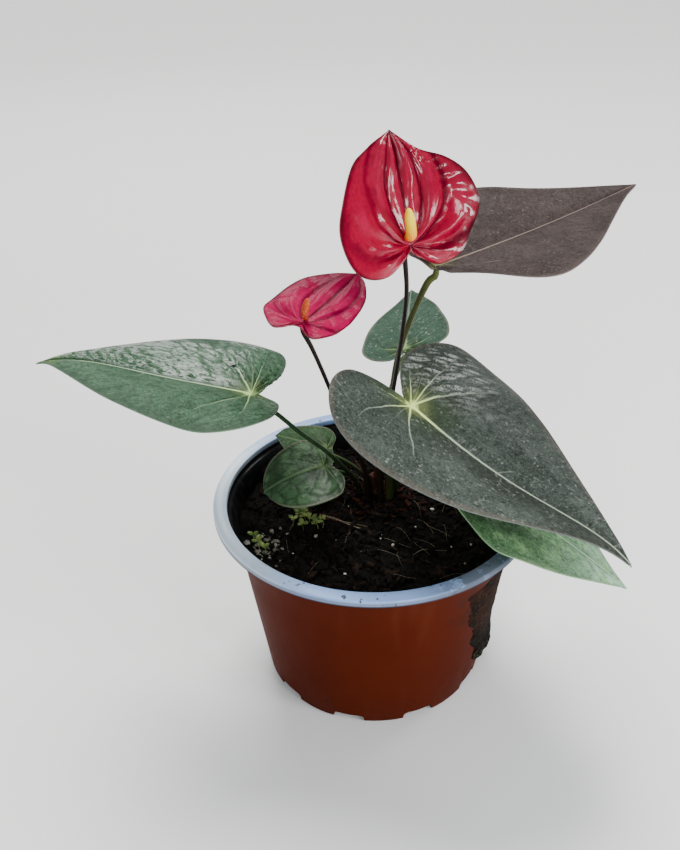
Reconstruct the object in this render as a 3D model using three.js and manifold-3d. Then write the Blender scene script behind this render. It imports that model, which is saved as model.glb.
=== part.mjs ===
// Potted anthurium: a low two-tone nursery pot of soil with one young plant,
// seven leaves and two flowers that all rise from one short crown.
// Millimetres, +Z up, the pot's axis on Z and its base on z = 0; the front is -Y.
import * as THREE from "three";
import { mergeVertices } from "three/addons/utils/BufferGeometryUtils.js";
import Module from "manifold-3d";

const wasm = await Module();
wasm.setup();

// ---------------------------------------------------------------- driving dimensions
const GAP = 0.3;                 // air between pieces that touch
const POT_HEIGHT = 88.8;
const POT_BASE_R = 50.2;
const POT_SHOULDER_R = 61.0;     // wall below the collar
const POT_SHOULDER_Z = 77.0;
const POT_RIM_R = 70.0;
const POT_RIM_INNER_R = 64.1;
const POT_WALL = 1.2;
const POT_FLOOR = 1.6;
const POT_SIDES = 50;
const NOTCHES = 10;              // drain notches round the foot
const NOTCH_WIDTH = 14.0;
const NOTCH_HEIGHT = 3.8;
const NOTCH_FIRST_DEG = -103;    // middle of the first notch
const SOIL_TOP_Z = 75.0;
const BLADE_THICK = 0.8;
const VEIN_BOW = 0.06;           // how far side veins bow to the tip, as a share of the margin
const PLEAT_START = 2.0;         // a spathe is flat this far round the junction,
const PLEAT_RISE = 6;            // its pleats reach their depth in this run,
const PLEAT_FADE = 8;            // and die away this far from the tip
const PUCKERS = 5.5;             // how close the cross puckers stand
const STALK_SIDES = 6;
const STALK_FOOT_Z = 64.0;       // how deep the stalks stand in the soil
const CROWN_X = 1.0;
const CROWN_Y = 18.0;
const CRUST_ROWS = 14;            // facets up and round the crust on the wall
const CRUST_COLUMNS = 8;

// Each blade lies on a bent, folded sheet. "along" runs from the junction with the
// stalk to the tip, "across" to the left (positive) and right (negative) margin.
// left and right list the margin from the sinus to the tip as [along, across]. sway and
// swerve carry the midrib aside, steadily or in a swing near the tip.
const LEAVES = {
  main: {
    at: [14.4, -20.4, 144.9], heading: -33.1, pitch: -28.5, roll: -6.6,
    length: 101.8, bend: 13.5, fold: 21, cup: -7.8, sway: -0.5, swerve: 6,
    rows: 20, columns: 5, veins: 5, bulge: 1.1, rib: 0.5, wave: 0.7, waves: 3,
    left: [[-9.3, 5], [-17, 16.4], [-16.1, 31.9], [-7.6, 49.4], [6.2, 56.6], [23.2, 55.6], [41.2, 43],
      [65.1, 23.3], [86.1, 8.3]],
    right: [[-13.4, -1.6], [-24.1, -14.8], [-24.8, -32.2], [-15.4, -45.9], [0.4, -51.5], [21, -50.3],
      [40, -43.3], [59, -31.2], [83, -14.4]],
    stalk: [[7.0, 12.0], [7.2, 10.6, 92], [7.6, 4.2, 112], [8.6, -4.0, 129], [10.9, -11.8, 139]],
    radii: [2.0, 1.45, 1.9], blade: 0x4d5a4c, stem: 0x6f7d34,
  },
  left: {
    at: [-49.6, -7.7, 142.9], heading: 167.2, pitch: 5.6, roll: 7.0,
    length: 93.2, bend: -6.7, fold: 17, cup: -8.0, sway: 0.6, swerve: -6.5,
    rows: 20, columns: 5, veins: 5, bulge: 1.1, rib: 0.5, wave: 1.0, waves: 3,
    left: [[-7, 0.8], [-14, 7.2], [-15.7, 24.2], [-10.2, 37.7], [1.2, 43.9], [14.5, 44.9],
      [32.3, 41.8], [52.7, 33.5], [75.6, 19.1]],
    right: [[-4.9, -8.2], [-7.4, -17.7], [-5.5, -30.5], [3, -43.1], [15.9, -50.7], [31.7, -39.5],
      [52.4, -25.5], [74, -11.9], [85, -5.5]],
    stalk: [[-6.7, 14.4], [-8.0, 13.0, 85], [-12.5, 8.6, 95], [-20.4, 1.8, 109.2], [-31.2, -1.5, 121],
      [-41.5, -5, 133.5]],
    radii: [1.6, 0.95, 1.3], blade: 0x4f6b55, stem: 0x2f4a24,
  },
  upper: {
    at: [24.1, 8.2, 191.0], heading: 41.1, pitch: -0.5, roll: 2.1,
    length: 128, bend: 6.2, fold: 17, cup: -2.8, sway: 0,
    rows: 20, columns: 5, veins: 5, bulge: 1.1, rib: 0.5, wave: 1.1, waves: 3,
    left: [[-3, 6], [-5, 15], [-4, 28], [6, 40], [24, 45], [42, 42], [60, 34.5], [78, 25], [104, 12]],
    right: [[-2, -5], [-4, -12], [-2, -25], [6, -40], [18, -49], [33, -48], [53, -39], [80, -24], [108, -9]],
    stalk: [[8.0, 22.9], [8.2, 21.5, 95], [7.3, 17.0, 118], [9.2, 14.0, 144], [14.0, 10.8, 165],
      [20.6, 8.5, 183.5]],
    radii: [1.9, 1.25, 1.5], blade: 0x5d5550, stem: 0x6b7531,
  },
  back: {
    at: [14.6, 61.0, 127.8], heading: 85.7, pitch: 2.0, roll: -17.2,
    length: 65, bend: -1.6, fold: 9, cup: -1, sway: 0,
    rows: 16, columns: 4, veins: 4, bulge: 0.8, rib: 0.4, wave: 0.5, waves: 3,
    left: [[-6, 2], [-9, 8], [-7, 16], [0, 20.5], [10, 21], [22, 19], [37, 13.5], [51, 6.5]],
    right: [[-6, -3], [-8, -10], [-6, -18], [0, -22], [10, -22], [22, -19], [37, -14.5], [51, -7.5]],
    stalk: [[2.5, 26.4], [2.8, 29.0, 90], [4.6, 36.0, 103], [8.6, 48.0, 116], [13.4, 58.2, 123.4]],
    radii: [1.7, 1.2, 1.4], blade: 0x5c7f6f, stem: 0x4d6630,
  },
  lower: {
    at: [39.1, -21.1, 111.4], heading: -21.8, pitch: -22.7, roll: -9.7,
    length: 77, bend: -10.2, fold: 5, cup: -3.2, sway: 0,
    rows: 20, columns: 4, veins: 5, bulge: 0.9, rib: 0.4, wave: 0.5, waves: 3,
    left: [[-7, 4], [-13, 13], [-11, 26], [0, 35], [13, 37], [28, 33.5], [45, 24], [60, 12.5], [69, 5.2]],
    right: [[-7, -5], [-10, -14], [-4, -23.3], [7, -31.2], [20.5, -38.5], [33, -34], [48, -25], [63, -13]],
    stalk: [[9.5, 17.3], [11.2, 15.6, 88], [18.2, 7.6, 101], [28.0, -7.0, 107.6], [36.6, -17.2, 107]],
    radii: [1.8, 1.2, 1.4], blade: 0x5f8260, stem: 0x4d6630,
  },
  small_front: {
    at: [-21.4, -2.0, 104.7], heading: 201.6, pitch: -0.7, roll: -13.1,
    length: 28.5, bend: -35, fold: 0, cup: -0.6, sway: 0,
    rows: 12, columns: 3, veins: 3, bulge: 0.5, rib: 0.3, wave: 0.4, waves: 2,
    left: [[-4, 3], [-6, 9], [-3, 16], [3, 19], [11, 19], [19, 15.5], [25, 9]],
    right: [[-3, -3], [-4, -8], [-1, -14], [5, -17], [14, -16], [21, -13], [26, -7]],
    stalk: [[-7.3, 19.8], [-9.0, 18.2, 84], [-13.4, 13.0, 90], [-18.8, 4.6, 97.5]],
    radii: [1.4, 0.9, 1.1], blade: 0x4a7054, stem: 0x4d6630,
  },
  small_back: {
    at: [-21.6, 27.0, 94.8], heading: 181.4, pitch: 14.2, roll: -3.9,
    length: 24, bend: 6, fold: 0, cup: -1.0, sway: 0,
    rows: 12, columns: 3, veins: 3, bulge: 0.5, rib: 0.3, wave: 0.4, waves: 2,
    left: [[-3, 3], [-4, 8], [-1, 13], [5, 15], [12, 13.5], [19, 8]],
    right: [[-3, -3], [-4, -9], [-1, -14], [6, -15], [13, -12.5], [20, -7]],
    stalk: [[-3.9, 25.0], [-6.6, 25.4, 82.5], [-12.0, 26.4, 86.5], [-18.4, 27.0, 90]],
    radii: [1.4, 0.9, 1.1], blade: 0x6f8c66, stem: 0x4d6630,
  },
};

// A flower is a spathe laid out like a blade, its stalk, and the spadix on its face.
const FLOWERS = {
  large: {
    at: [13.0, -11.9, 207.8], heading: 118.7, pitch: 76.5, roll: 5.9,
    length: 41, bend: -20.7, fold: 5.5, cup: 6.4, sway: -1,
    rows: 26, columns: 11, veins: 5, bulge: 1.5, rib: 0.3, wave: 0.6, waves: 3,
    pleats: { deep: 1.1, left: 0.35, right: 0.5, count: 4.6 },
    left: [[-5, 3], [-9, 10], [-9, 17], [-6, 25], [0, 30], [10, 32.5], [19, 29], [30, 21], [36, 11]],
    right: [[-6, -5], [-9, -12], [-6, -20], [0, -24.5], [10, -29], [21, -26], [28, -19.5], [33, -9]],
    stalk: [[2.8, 9.7], [3.4, 9.2, 98], [5.6, 8.2, 120], [8.7, 6.0, 142], [11.4, 0, 168.7],
      [12.3, -6.0, 188]],
    radii: [1.6, 0.9, 1.05], blade: 0xa8143c, stem: 0x2c1c18,
    spadix: [[0.8, 1.2, 1.2], [2.4, 2.4, 4.9], [12.4, 7.2, 11.6]], spadixR: 2.1,
  },
  small: {
    at: [-26.1, -21.6, 181.3], heading: 59.9, pitch: 5.1, roll: 6.4,
    length: 39, bend: 6, fold: -2.4, cup: -0.4, sway: 0,
    rows: 20, columns: 8, veins: 4, bulge: 0.9, rib: 0.3, wave: 0.5, waves: 3,
    pleats: { deep: 0.9, left: 0.35, right: 0.45, count: 3.8 },
    left: [[-3, 3], [-7, 8], [-4, 14], [2, 19], [10, 20], [19, 19], [28, 16], [35, 9]],
    right: [[-4, -3], [-6, -8], [-2, -12], [6, -13.5], [14, -14], [23, -12.5], [30, -9.5], [36, -5]],
    stalk: [[-2.6, 10.3], [-4.4, 9.2, 96], [-10.3, 5.0, 113], [-18.0, -7.0, 146], [-23.4, -16.6, 168]],
    radii: [1.4, 0.85, 1.0], blade: 0xb01f4c, stem: 0x33271c,
    spadix: [[0, 0, 1.0], [-0.2, 0.6, 3.0], [1.4, 0.4, 8.6]], spadixR: 1.5,
  },
};

const RAD = Math.PI / 180;
const group = new THREE.Group();
group.name = "potted_anthurium";

// ---------------------------------------------------------------- shared helpers
function place(name, geometry, colour, roughness) {
  const material = new THREE.MeshStandardMaterial({ color: colour, roughness, metalness: 0 });
  const mesh = new THREE.Mesh(geometry, material);
  mesh.name = name;
  group.add(mesh);
}

function closedGeometry(points, faces) {
  const geometry = new THREE.BufferGeometry();
  const flat = points.flatMap((p) => [p.x, p.y, p.z]);
  geometry.setAttribute("position", new THREE.Float32BufferAttribute(flat, 3));
  geometry.setIndex(faces.flat());
  geometry.computeVertexNormals();
  return geometry;
}

function toManifold(geometry) {
  const bare = new THREE.BufferGeometry();
  bare.setAttribute("position", geometry.getAttribute("position"));
  if (geometry.index) bare.setIndex(geometry.index);
  const merged = mergeVertices(bare, 1e-4);
  const mesh = new wasm.Mesh({
    numProp: 3,
    vertProperties: new Float32Array(merged.getAttribute("position").array),
    triVerts: new Uint32Array(merged.index.array),
  });
  return new wasm.Manifold(mesh);
}

function fromManifold(solid) {
  const mesh = solid.getMesh();
  const geometry = new THREE.BufferGeometry();
  geometry.setAttribute("position", new THREE.Float32BufferAttribute(mesh.vertProperties, 3));
  geometry.setIndex([...mesh.triVerts]);
  geometry.computeVertexNormals();
  return geometry;
}

function curveThrough(points) {
  return new THREE.CatmullRomCurve3(points, false, "catmullrom", 0.5);
}

// A round bar along a curve, its radius given by a rule of the fraction travelled,
// closed with a flat cap at both ends.
function bar(points, steps, sides, radiusAt) {
  const curve = curveThrough(points);
  const frames = curve.computeFrenetFrames(steps, false);
  const ring = [];
  for (let i = 0; i <= steps; i += 1) {
    const centre = curve.getPointAt(i / steps);
    for (let k = 0; k < sides; k += 1) {
      const angle = (2 * Math.PI * k) / sides;
      const r = radiusAt(i / steps, k);
      ring.push(centre.clone()
        .addScaledVector(frames.normals[i], r * Math.cos(angle))
        .addScaledVector(frames.binormals[i], r * Math.sin(angle)));
    }
  }
  const faces = [];
  for (let i = 0; i < steps; i += 1) {
    for (let k = 0; k < sides; k += 1) {
      const a = i * sides + k;
      const b = i * sides + ((k + 1) % sides);
      faces.push([a, b, b + sides], [a, b + sides, a + sides]);
    }
  }
  const first = ring.push(curve.getPointAt(0)) - 1;
  const last = ring.push(curve.getPointAt(1)) - 1;
  const top = steps * sides;
  for (let k = 0; k < sides; k += 1) {
    const next = (k + 1) % sides;
    faces.push([first, next, k], [last, top + k, top + next]);
  }
  return closedGeometry(ring, faces);
}

// ---------------------------------------------------------------- the blade formula
function fraction(x) {
  return THREE.MathUtils.clamp(x, 0, 1);
}

// A spathe's face is pleated along arcs that leave the junction and meet again at the
// tip, with shorter puckers across them.
function pleatLift(blade, s, w, out) {
  const { deep, left, right, count } = blade.pleats;
  const fromFoot = Math.hypot(s, w);
  const fromTip = Math.hypot(s - blade.length, w);
  const arch = Math.PI - Math.atan2(Math.abs(w) * blade.length, fromFoot ** 2 - s * blade.length);
  const fromEnds = fraction((fromFoot - PLEAT_START) / PLEAT_RISE) * fraction(fromTip / PLEAT_FADE);
  const pleat = Math.abs(Math.sin(arch * count)) ** 0.9;
  const way = Math.log((fromFoot + 2) / (fromTip + 2));
  const pucker = Math.abs(Math.sin(PUCKERS * way)) ** 0.7 * fraction(1.6 * out - 0.4)
    * THREE.MathUtils.clamp(1.5 * out, 0.3, 1);
  return fromEnds * (1 - out ** 7) * (deep * (pleat - 0.5) + (w > 0 ? left : right) * (pucker - 0.5));
}

function bladeFrame(blade) {
  const h = blade.heading * RAD;
  const p = blade.pitch * RAD;
  const r = blade.roll * RAD;
  const along = new THREE.Vector3(Math.cos(p) * Math.cos(h), Math.cos(p) * Math.sin(h), Math.sin(p));
  const level = new THREE.Vector3(-Math.sin(h), Math.cos(h), 0);
  const up = new THREE.Vector3().crossVectors(along, level);
  const across = level.clone().multiplyScalar(Math.cos(r)).addScaledVector(up, Math.sin(r));
  const normal = up.clone().multiplyScalar(Math.cos(r)).addScaledVector(level, -Math.sin(r));
  return { along, across, normal };
}

// How far the midrib swings aside near its tip, as a share of its largest swing.
const SWERVE_SHAPE = 12.2;

// The upper face at (s along, w across). row is the fraction round the margin from
// the sinus to the tip, out is the fraction from the midrib to the margin.
function bladePoint(blade, frame, s, w, row, out) {
  const turn = (blade.bend * RAD) / blade.length;
  const angle = turn * s;
  const x = s / blade.length;
  const swerve = (blade.swerve ?? 0) * SWERVE_SHAPE * Math.max(0, x) ** 4 * (1 - x);
  const sideways = w + blade.sway * x ** 2 + swerve;
  const fold = blade.fold * RAD;
  const between = Math.sin(Math.PI * blade.veins * (row - VEIN_BOW * out ** 2)) ** 2;
  const hump = blade.bulge * between * Math.sin(Math.PI * Math.min(1, out * 1.15)) ** 1.2;
  const phase = w > 0 ? 0.6 : 2.2;
  const ruffle = blade.wave * out ** 3 * Math.sin(Math.PI * row)
    * Math.sin(2 * Math.PI * blade.waves * row + phase);
  const midrib = out === 0 && s > 1 ? blade.rib : 0;
  const pleat = blade.pleats ? pleatLift(blade, s, w, out) : 0;
  const lift = Math.abs(w) * Math.sin(fold) + blade.cup * (w / 40) ** 2 + hump + ruffle + midrib + pleat;
  const local = frame.normal.clone().multiplyScalar(Math.cos(angle))
    .addScaledVector(frame.along, -Math.sin(angle));
  return new THREE.Vector3(...blade.at)
    .addScaledVector(frame.along, Math.sin(angle) / turn)
    .addScaledVector(frame.normal, (1 - Math.cos(angle)) / turn)
    .addScaledVector(frame.across, sideways * Math.cos(fold))
    .addScaledVector(local, lift);
}

function marginCurve(blade, side) {
  const flat = [[-2.5, 0], ...blade[side], [blade.length, 0]];
  return curveThrough(flat.map(([s, w]) => new THREE.Vector3(s, w, 0)));
}

// The rows run from the midrib to the margin along the side veins: a fan from the
// junction through the lobes, then ever further up the midrib.
function bladeRows(blade) {
  const margins = { left: marginCurve(blade, "left"), right: marginCurve(blade, "right") };
  const rows = [];
  for (let i = 0; i <= blade.rows; i += 1) {
    const row = i / blade.rows;
    const left = margins.left.getPoint(row);
    const right = margins.right.getPoint(row);
    const reach = (left.x + right.x) / 2 - 0.375 * (left.y - right.y);
    rows.push({ row, left, right, foot: i === blade.rows ? blade.length : Math.max(0, reach) });
  }
  return rows;
}

function rowPoint(blade, frame, entry, side, out) {
  const edge = entry[side];
  const s = entry.foot + (edge.x - entry.foot) * out ** 1.15;
  return bladePoint(blade, frame, s, edge.y * out, entry.row, out);
}

function bladeSolid(blade) {
  const frame = bladeFrame(blade);
  const rows = bladeRows(blade);
  const points = [];
  const grid = { left: [], right: [] };
  rows.forEach((entry, i) => {
    const isTip = i === blade.rows;
    const shared = i > 0 && entry.foot === rows[i - 1].foot;
    const midrib = shared ? grid.left[i - 1][0] : points.push(rowPoint(blade, frame, entry, "left", 0)) - 1;
    for (const side of ["left", "right"]) {
      const line = [midrib];
      for (let k = 1; k <= blade.columns; k += 1) {
        if (isTip) line.push(midrib);
        else if (i === 0 && side === "right") line.push(grid.left[0][k]);
        else line.push(points.push(rowPoint(blade, frame, entry, side, k / blade.columns)) - 1);
      }
      grid[side].push(line);
    }
  });
  return thicken(points, grid, blade);
}

// Gives the sheet its thickness: the same triangles on both faces and a wall round
// the margin.
function thicken(points, grid, blade) {
  const top = [];
  const wall = [];
  const add = (a, b, c, flip) => {
    if (a !== b && b !== c && a !== c) top.push(flip ? [a, c, b] : [a, b, c]);
  };
  for (const side of ["left", "right"]) {
    const flip = side === "right";
    for (let i = 0; i < blade.rows; i += 1) {
      const near = grid[side][i];
      const far = grid[side][i + 1];
      for (let k = 0; k < blade.columns; k += 1) {
        add(near[k], far[k], far[k + 1], flip);
        add(near[k], far[k + 1], near[k + 1], flip);
      }
      const rim = [far[blade.columns], near[blade.columns]];
      wall.push(flip ? rim.reverse() : rim);
    }
  }
  const normals = points.map(() => new THREE.Vector3());
  for (const [a, b, c] of top) {
    const ab = new THREE.Vector3().subVectors(points[b], points[a]);
    const ac = new THREE.Vector3().subVectors(points[c], points[a]);
    const n = ab.cross(ac);
    [a, b, c].forEach((v) => normals[v].add(n));
  }
  const count = points.length;
  const under = points.map((p, i) => p.clone().addScaledVector(normals[i].normalize(), -BLADE_THICK));
  const faces = [...top];
  top.forEach(([a, b, c]) => faces.push([a + count, c + count, b + count]));
  wall.forEach(([a, b]) => faces.push([b, a, a + count], [b, a + count, b + count]));
  return closedGeometry([...points, ...under], faces);
}

// A stalk climbs from its hole in the soil and meets the blade's back square on.
function stalkPath(blade) {
  const { normal } = bladeFrame(blade);
  const [first, ...rest] = blade.stalk;
  const [x, y] = first;
  const junction = new THREE.Vector3(...blade.at);
  const seat = BLADE_THICK + GAP;
  return [
    new THREE.Vector3(x, y, STALK_FOOT_Z),
    new THREE.Vector3(x, y, SOIL_TOP_Z + 3),
    ...rest.map((p) => new THREE.Vector3(...p)),
    junction.clone().addScaledVector(normal, -seat - 2.6),
    junction.clone().addScaledVector(normal, -seat),
  ];
}

function stalkSolid(blade) {
  const [foot, middle, knee] = blade.radii;
  const steps = Math.round(curveThrough(stalkPath(blade)).getLength() / 9) + 4;
  return bar(stalkPath(blade), steps, STALK_SIDES, (t) => {
    const taper = foot + (middle - foot) * Math.min(1, t / 0.35);
    const swell = (knee - middle) * Math.max(0, (t - 0.85) / 0.15);
    return taper + swell;
  });
}

// ---------------------------------------------------------------- the pot
// One thin shell: floor, tapering wall, a small step, the collar with its inner
// stacking ledge, and a flat rim turned down at its edge.
function potProfile() {
  const ledge = POT_HEIGHT - 5.0;
  const outer = [
    [0, 0],
    [POT_BASE_R - 0.8, 0],
    [POT_BASE_R, 0.8],
    [POT_SHOULDER_R, POT_SHOULDER_Z],
    [POT_SHOULDER_R + 0.8, POT_SHOULDER_Z + 0.6],
    [POT_RIM_INNER_R - 0.2, ledge - 0.4],
    [POT_RIM_INNER_R + 1.3, ledge + 0.6],
    [POT_RIM_INNER_R + 1.6, POT_HEIGHT - 1.7],
    [POT_RIM_R - 1.4, POT_HEIGHT - 1.7],
    [POT_RIM_R - 1.3, POT_HEIGHT - 3.2],
    [POT_RIM_R, POT_HEIGHT - 3.2],
    [POT_RIM_R, POT_HEIGHT - 0.9],
    [POT_RIM_R - 0.8, POT_HEIGHT],
  ];
  const inner = [
    [POT_RIM_INNER_R, POT_HEIGHT],
    [POT_RIM_INNER_R - 0.3, ledge + 0.9],
    [POT_RIM_INNER_R - 1.8, ledge + 0.3],
    [POT_SHOULDER_R - POT_WALL, POT_SHOULDER_Z],
    [POT_BASE_R - POT_WALL, POT_FLOOR],
    [0, POT_FLOOR],
  ];
  return [...outer, ...inner].map(([r, z]) => new THREE.Vector2(r, z));
}

function notchCutter(angleDeg) {
  const half = NOTCH_WIDTH / 2;
  const round = 1.6;
  const arch = new THREE.Shape();
  arch.moveTo(-half, -2);
  arch.lineTo(half, -2);
  arch.lineTo(half, NOTCH_HEIGHT - round);
  arch.lineTo(half - round, NOTCH_HEIGHT);
  arch.lineTo(-half + round, NOTCH_HEIGHT);
  arch.lineTo(-half, NOTCH_HEIGHT - round);
  arch.closePath();
  const cutter = new THREE.ExtrudeGeometry(arch, { depth: 12, bevelEnabled: false });
  cutter.rotateX(Math.PI / 2);
  cutter.translate(0, -POT_BASE_R + 6, 0);
  cutter.rotateZ((angleDeg + 90) * RAD);
  return toManifold(cutter);
}

function potSolid() {
  const lathe = new THREE.LatheGeometry(potProfile(), POT_SIDES);
  lathe.rotateX(Math.PI / 2);
  let pot = toManifold(lathe);
  for (let i = 0; i < NOTCHES; i += 1) {
    pot = pot.subtract(notchCutter(NOTCH_FIRST_DEG + (360 / NOTCHES) * i));
  }
  return fromManifold(pot);
}

// ---------------------------------------------------------------- the soil
function soilHeight(x, y) {
  const fromCrown = Math.hypot(x - CROWN_X, y - CROWN_Y);
  const mound = 2.2 * Math.exp(-((fromCrown / 22) ** 2));
  const clods = 0.9 * Math.sin(0.31 * x + 0.5) * Math.cos(0.27 * y)
    + 0.6 * Math.sin(0.53 * x + 0.41 * y + 1.3);
  const level = Math.min(1, fromCrown / 16);
  return SOIL_TOP_Z + mound + clods * level;
}

function soilBody() {
  const rings = [0, 0.16, 0.34, 0.52, 0.68, 0.84, 1];
  const wallR = (z) => {
    const rise = (z - POT_FLOOR) / (POT_SHOULDER_Z - POT_FLOOR);
    return POT_BASE_R - POT_WALL - GAP - 0.05 + rise * (POT_SHOULDER_R - POT_BASE_R);
  };
  const points = [];
  const at = (r, k, z) => {
    const angle = (2 * Math.PI * k) / POT_SIDES - Math.PI / 2;
    return new THREE.Vector3(r * Math.cos(angle), r * Math.sin(angle), z);
  };
  points.push(new THREE.Vector3(0, 0, soilHeight(0, 0)));
  rings.slice(1).forEach((share) => {
    for (let k = 0; k < POT_SIDES; k += 1) {
      const flat = at(share * wallR(SOIL_TOP_Z - 2), k, 0);
      points.push(flat.setZ(soilHeight(flat.x, flat.y)));
    }
  });
  const bottomZ = POT_FLOOR + GAP;
  for (let k = 0; k < POT_SIDES; k += 1) points.push(at(wallR(bottomZ), k, bottomZ));
  points.push(new THREE.Vector3(0, 0, bottomZ));
  const faces = [];
  const node = (ring, k) => 1 + ring * POT_SIDES + (k % POT_SIDES);
  const ringCount = rings.length;
  for (let k = 0; k < POT_SIDES; k += 1) {
    faces.push([0, node(0, k), node(0, k + 1)]);
    for (let ring = 0; ring < ringCount - 1; ring += 1) {
      faces.push([node(ring, k), node(ring + 1, k), node(ring + 1, k + 1)]);
      faces.push([node(ring, k), node(ring + 1, k + 1), node(ring, k + 1)]);
    }
    faces.push([points.length - 1, node(ringCount - 1, k + 1), node(ringCount - 1, k)]);
  }
  return toManifold(closedGeometry(points, faces));
}

function soilHole(x, y, radius) {
  const depth = 30;
  const cutter = new THREE.CylinderGeometry(radius, radius, depth, 10);
  cutter.rotateX(Math.PI / 2);
  cutter.translate(x, y, STALK_FOOT_Z - GAP + depth / 2);
  return toManifold(cutter);
}

const STANDING = [...Object.values(LEAVES), ...Object.values(FLOWERS)];

function soilSolid() {
  let soil = soilBody();
  STANDING.forEach((one) => {
    const [[x, y]] = one.stalk;
    soil = soil.subtract(soilHole(x, y, one.radii[0] + GAP + 0.12));
  });
  return fromManifold(soil.subtract(soilHole(CROWN_X, CROWN_Y, 4.4 + GAP + 0.2)));
}

// ---------------------------------------------------------------- the crown
// The short woody stem that the stalks stand round, with its ring scars and the
// curled points of three dry sheaths.
function crownSolid() {
  const heights = [0, 9, 12, 14.5, 17, 19.5, 21.5, 23];
  const radii = [4.2, 4.3, 4.4, 3.9, 4.1, 3.3, 2.5, 1.2];
  const path = heights.map((h) => new THREE.Vector3(CROWN_X, CROWN_Y, STALK_FOOT_Z + h));
  const rule = (t, k) => {
    const place = t * (radii.length - 1);
    const i = Math.min(radii.length - 2, Math.floor(place));
    const mix = radii[i] + (radii[i + 1] - radii[i]) * (place - i);
    return mix * (k % 2 ? 0.94 : 1);
  };
  let crown = toManifold(bar(path, 10, 10, rule));
  [[252, 15, 9.0], [184, 17, 7.5], [58, 12, 7.0]].forEach(([angle, height, lean]) => {
    crown = crown.add(toManifold(sheath(angle * RAD, height, lean)));
  });
  return fromManifold(crown);
}

function sheath(angle, height, lean) {
  const outward = new THREE.Vector3(Math.cos(angle), Math.sin(angle), 0);
  const foot = new THREE.Vector3(CROWN_X, CROWN_Y, STALK_FOOT_Z + 15).addScaledVector(outward, 1.2);
  const points = [0, 0.35, 0.7, 1].map((t) => foot.clone()
    .addScaledVector(outward, lean * t ** 1.6)
    .setZ(foot.z + height * t));
  const blade = bar(points, 6, 6, (t, k) => {
    const flat = k % 3 === 0 ? 1.0 : 0.55;
    return flat * 1.5 * (1 - t) ** 0.6 + 0.35;
  });
  return blade;
}

// ---------------------------------------------------------------- dried soil on the wall
// A crust of spilt soil that has dried onto the right of the pot.
function crustSolid() {
  const points = { inner: [], outer: [] };
  for (let i = 0; i <= CRUST_ROWS; i += 1) {
    const up = i / CRUST_ROWS;
    const z = 4.5 + 64 * up;
    const wall = POT_BASE_R + ((POT_SHOULDER_R - POT_BASE_R) * z) / POT_SHOULDER_Z + GAP + 0.1;
    const from = -33 - 27 * up ** 2 + 13 * Math.max(0, 1 - 4 * up) ** 1.5 + 1.6 * Math.sin(23 * up + 1);
    const to = 3 - 12 * up ** 2 - 2 * Math.sin(11 * up) + 1.4 * Math.sin(27 * up);
    const narrow = Math.sin(Math.PI * (0.16 + 0.78 * up)) ** 0.4;
    for (let k = 0; k <= CRUST_COLUMNS; k += 1) {
      const round = k / CRUST_COLUMNS;
      const middle = (from + to) / 2;
      const angle = (middle + (to - from) * (round - 0.5) * narrow) * RAD;
      const r = wall + crustThickness(up, round) * (0.35 + 0.65 * narrow);
      points.inner.push(new THREE.Vector3(wall * Math.cos(angle), wall * Math.sin(angle), z));
      points.outer.push(new THREE.Vector3(r * Math.cos(angle), r * Math.sin(angle), z));
    }
  }
  return sheetSolid(points.outer, points.inner, CRUST_ROWS, CRUST_COLUMNS);
}

// A thick clump low down and a thin film above, thinning to every edge, with lumps all over.
function crustThickness(up, round) {
  const body = Math.sin(Math.PI * (0.06 + 0.86 * round ** 1.3)) ** 0.6;
  const clump = THREE.MathUtils.smoothstep(0.48 - up, 0, 0.40);
  const lumps = Math.sin(29 * up + 4) * Math.cos(17 * round - 5 * up) + Math.sin(13 * up + 11 * round);
  return 0.6 + (0.3 + 2.6 * clump) * body + (0.1 + 0.25 * clump) * lumps * body;
}

// Closes a pair of matching grids into one body.
function sheetSolid(outer, inner, rows, columns) {
  const wide = columns + 1;
  const count = outer.length;
  const faces = [];
  const id = (i, k) => i * wide + k;
  for (let i = 0; i < rows; i += 1) {
    for (let k = 0; k < columns; k += 1) {
      const quad = [id(i, k), id(i, k + 1), id(i + 1, k + 1), id(i + 1, k)];
      const [a, b, c, d] = quad;
      faces.push([a, b, c], [a, c, d]);
      faces.push([a + count, c + count, b + count], [a + count, d + count, c + count]);
    }
  }
  const border = [];
  for (let k = 0; k < columns; k += 1) border.push([id(0, k), id(0, k + 1)]);
  for (let i = 0; i < rows; i += 1) border.push([id(i, columns), id(i + 1, columns)]);
  for (let k = columns; k > 0; k -= 1) border.push([id(rows, k), id(rows, k - 1)]);
  for (let i = rows; i > 0; i -= 1) border.push([id(i, 0), id(i - 1, 0)]);
  border.forEach(([a, b]) => faces.push([b, a, a + count], [b, a + count, b + count]));
  return closedGeometry([...outer, ...inner], faces);
}

// ---------------------------------------------------------------- the spadix
// A finger of tiny packed florets on a short foot, standing off the spathe's face.
function spadixSolid(flower) {
  const frame = bladeFrame(flower);
  const path = flower.spadix.map(([s, w, up], i) => new THREE.Vector3(...flower.at)
    .addScaledVector(frame.along, s + 2.2)
    .addScaledVector(frame.across, w)
    .addScaledVector(frame.normal, i === 0 ? flower.rib + 3 * GAP : up));
  const full = flower.spadixR;
  return bar(path, 12, 8, (t, k) => {
    const body = Math.min(1, 0.5 + 1.8 * t);
    const tip = Math.sqrt(Math.max(0.04, 1 - Math.max(0, (t - 0.72) / 0.29) ** 2));
    const floret = 1 + 0.05 * Math.cos(Math.PI * (k + Math.round(t * 12)));
    return full * body * tip * floret * (1 - 0.22 * t);
  });
}

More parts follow.
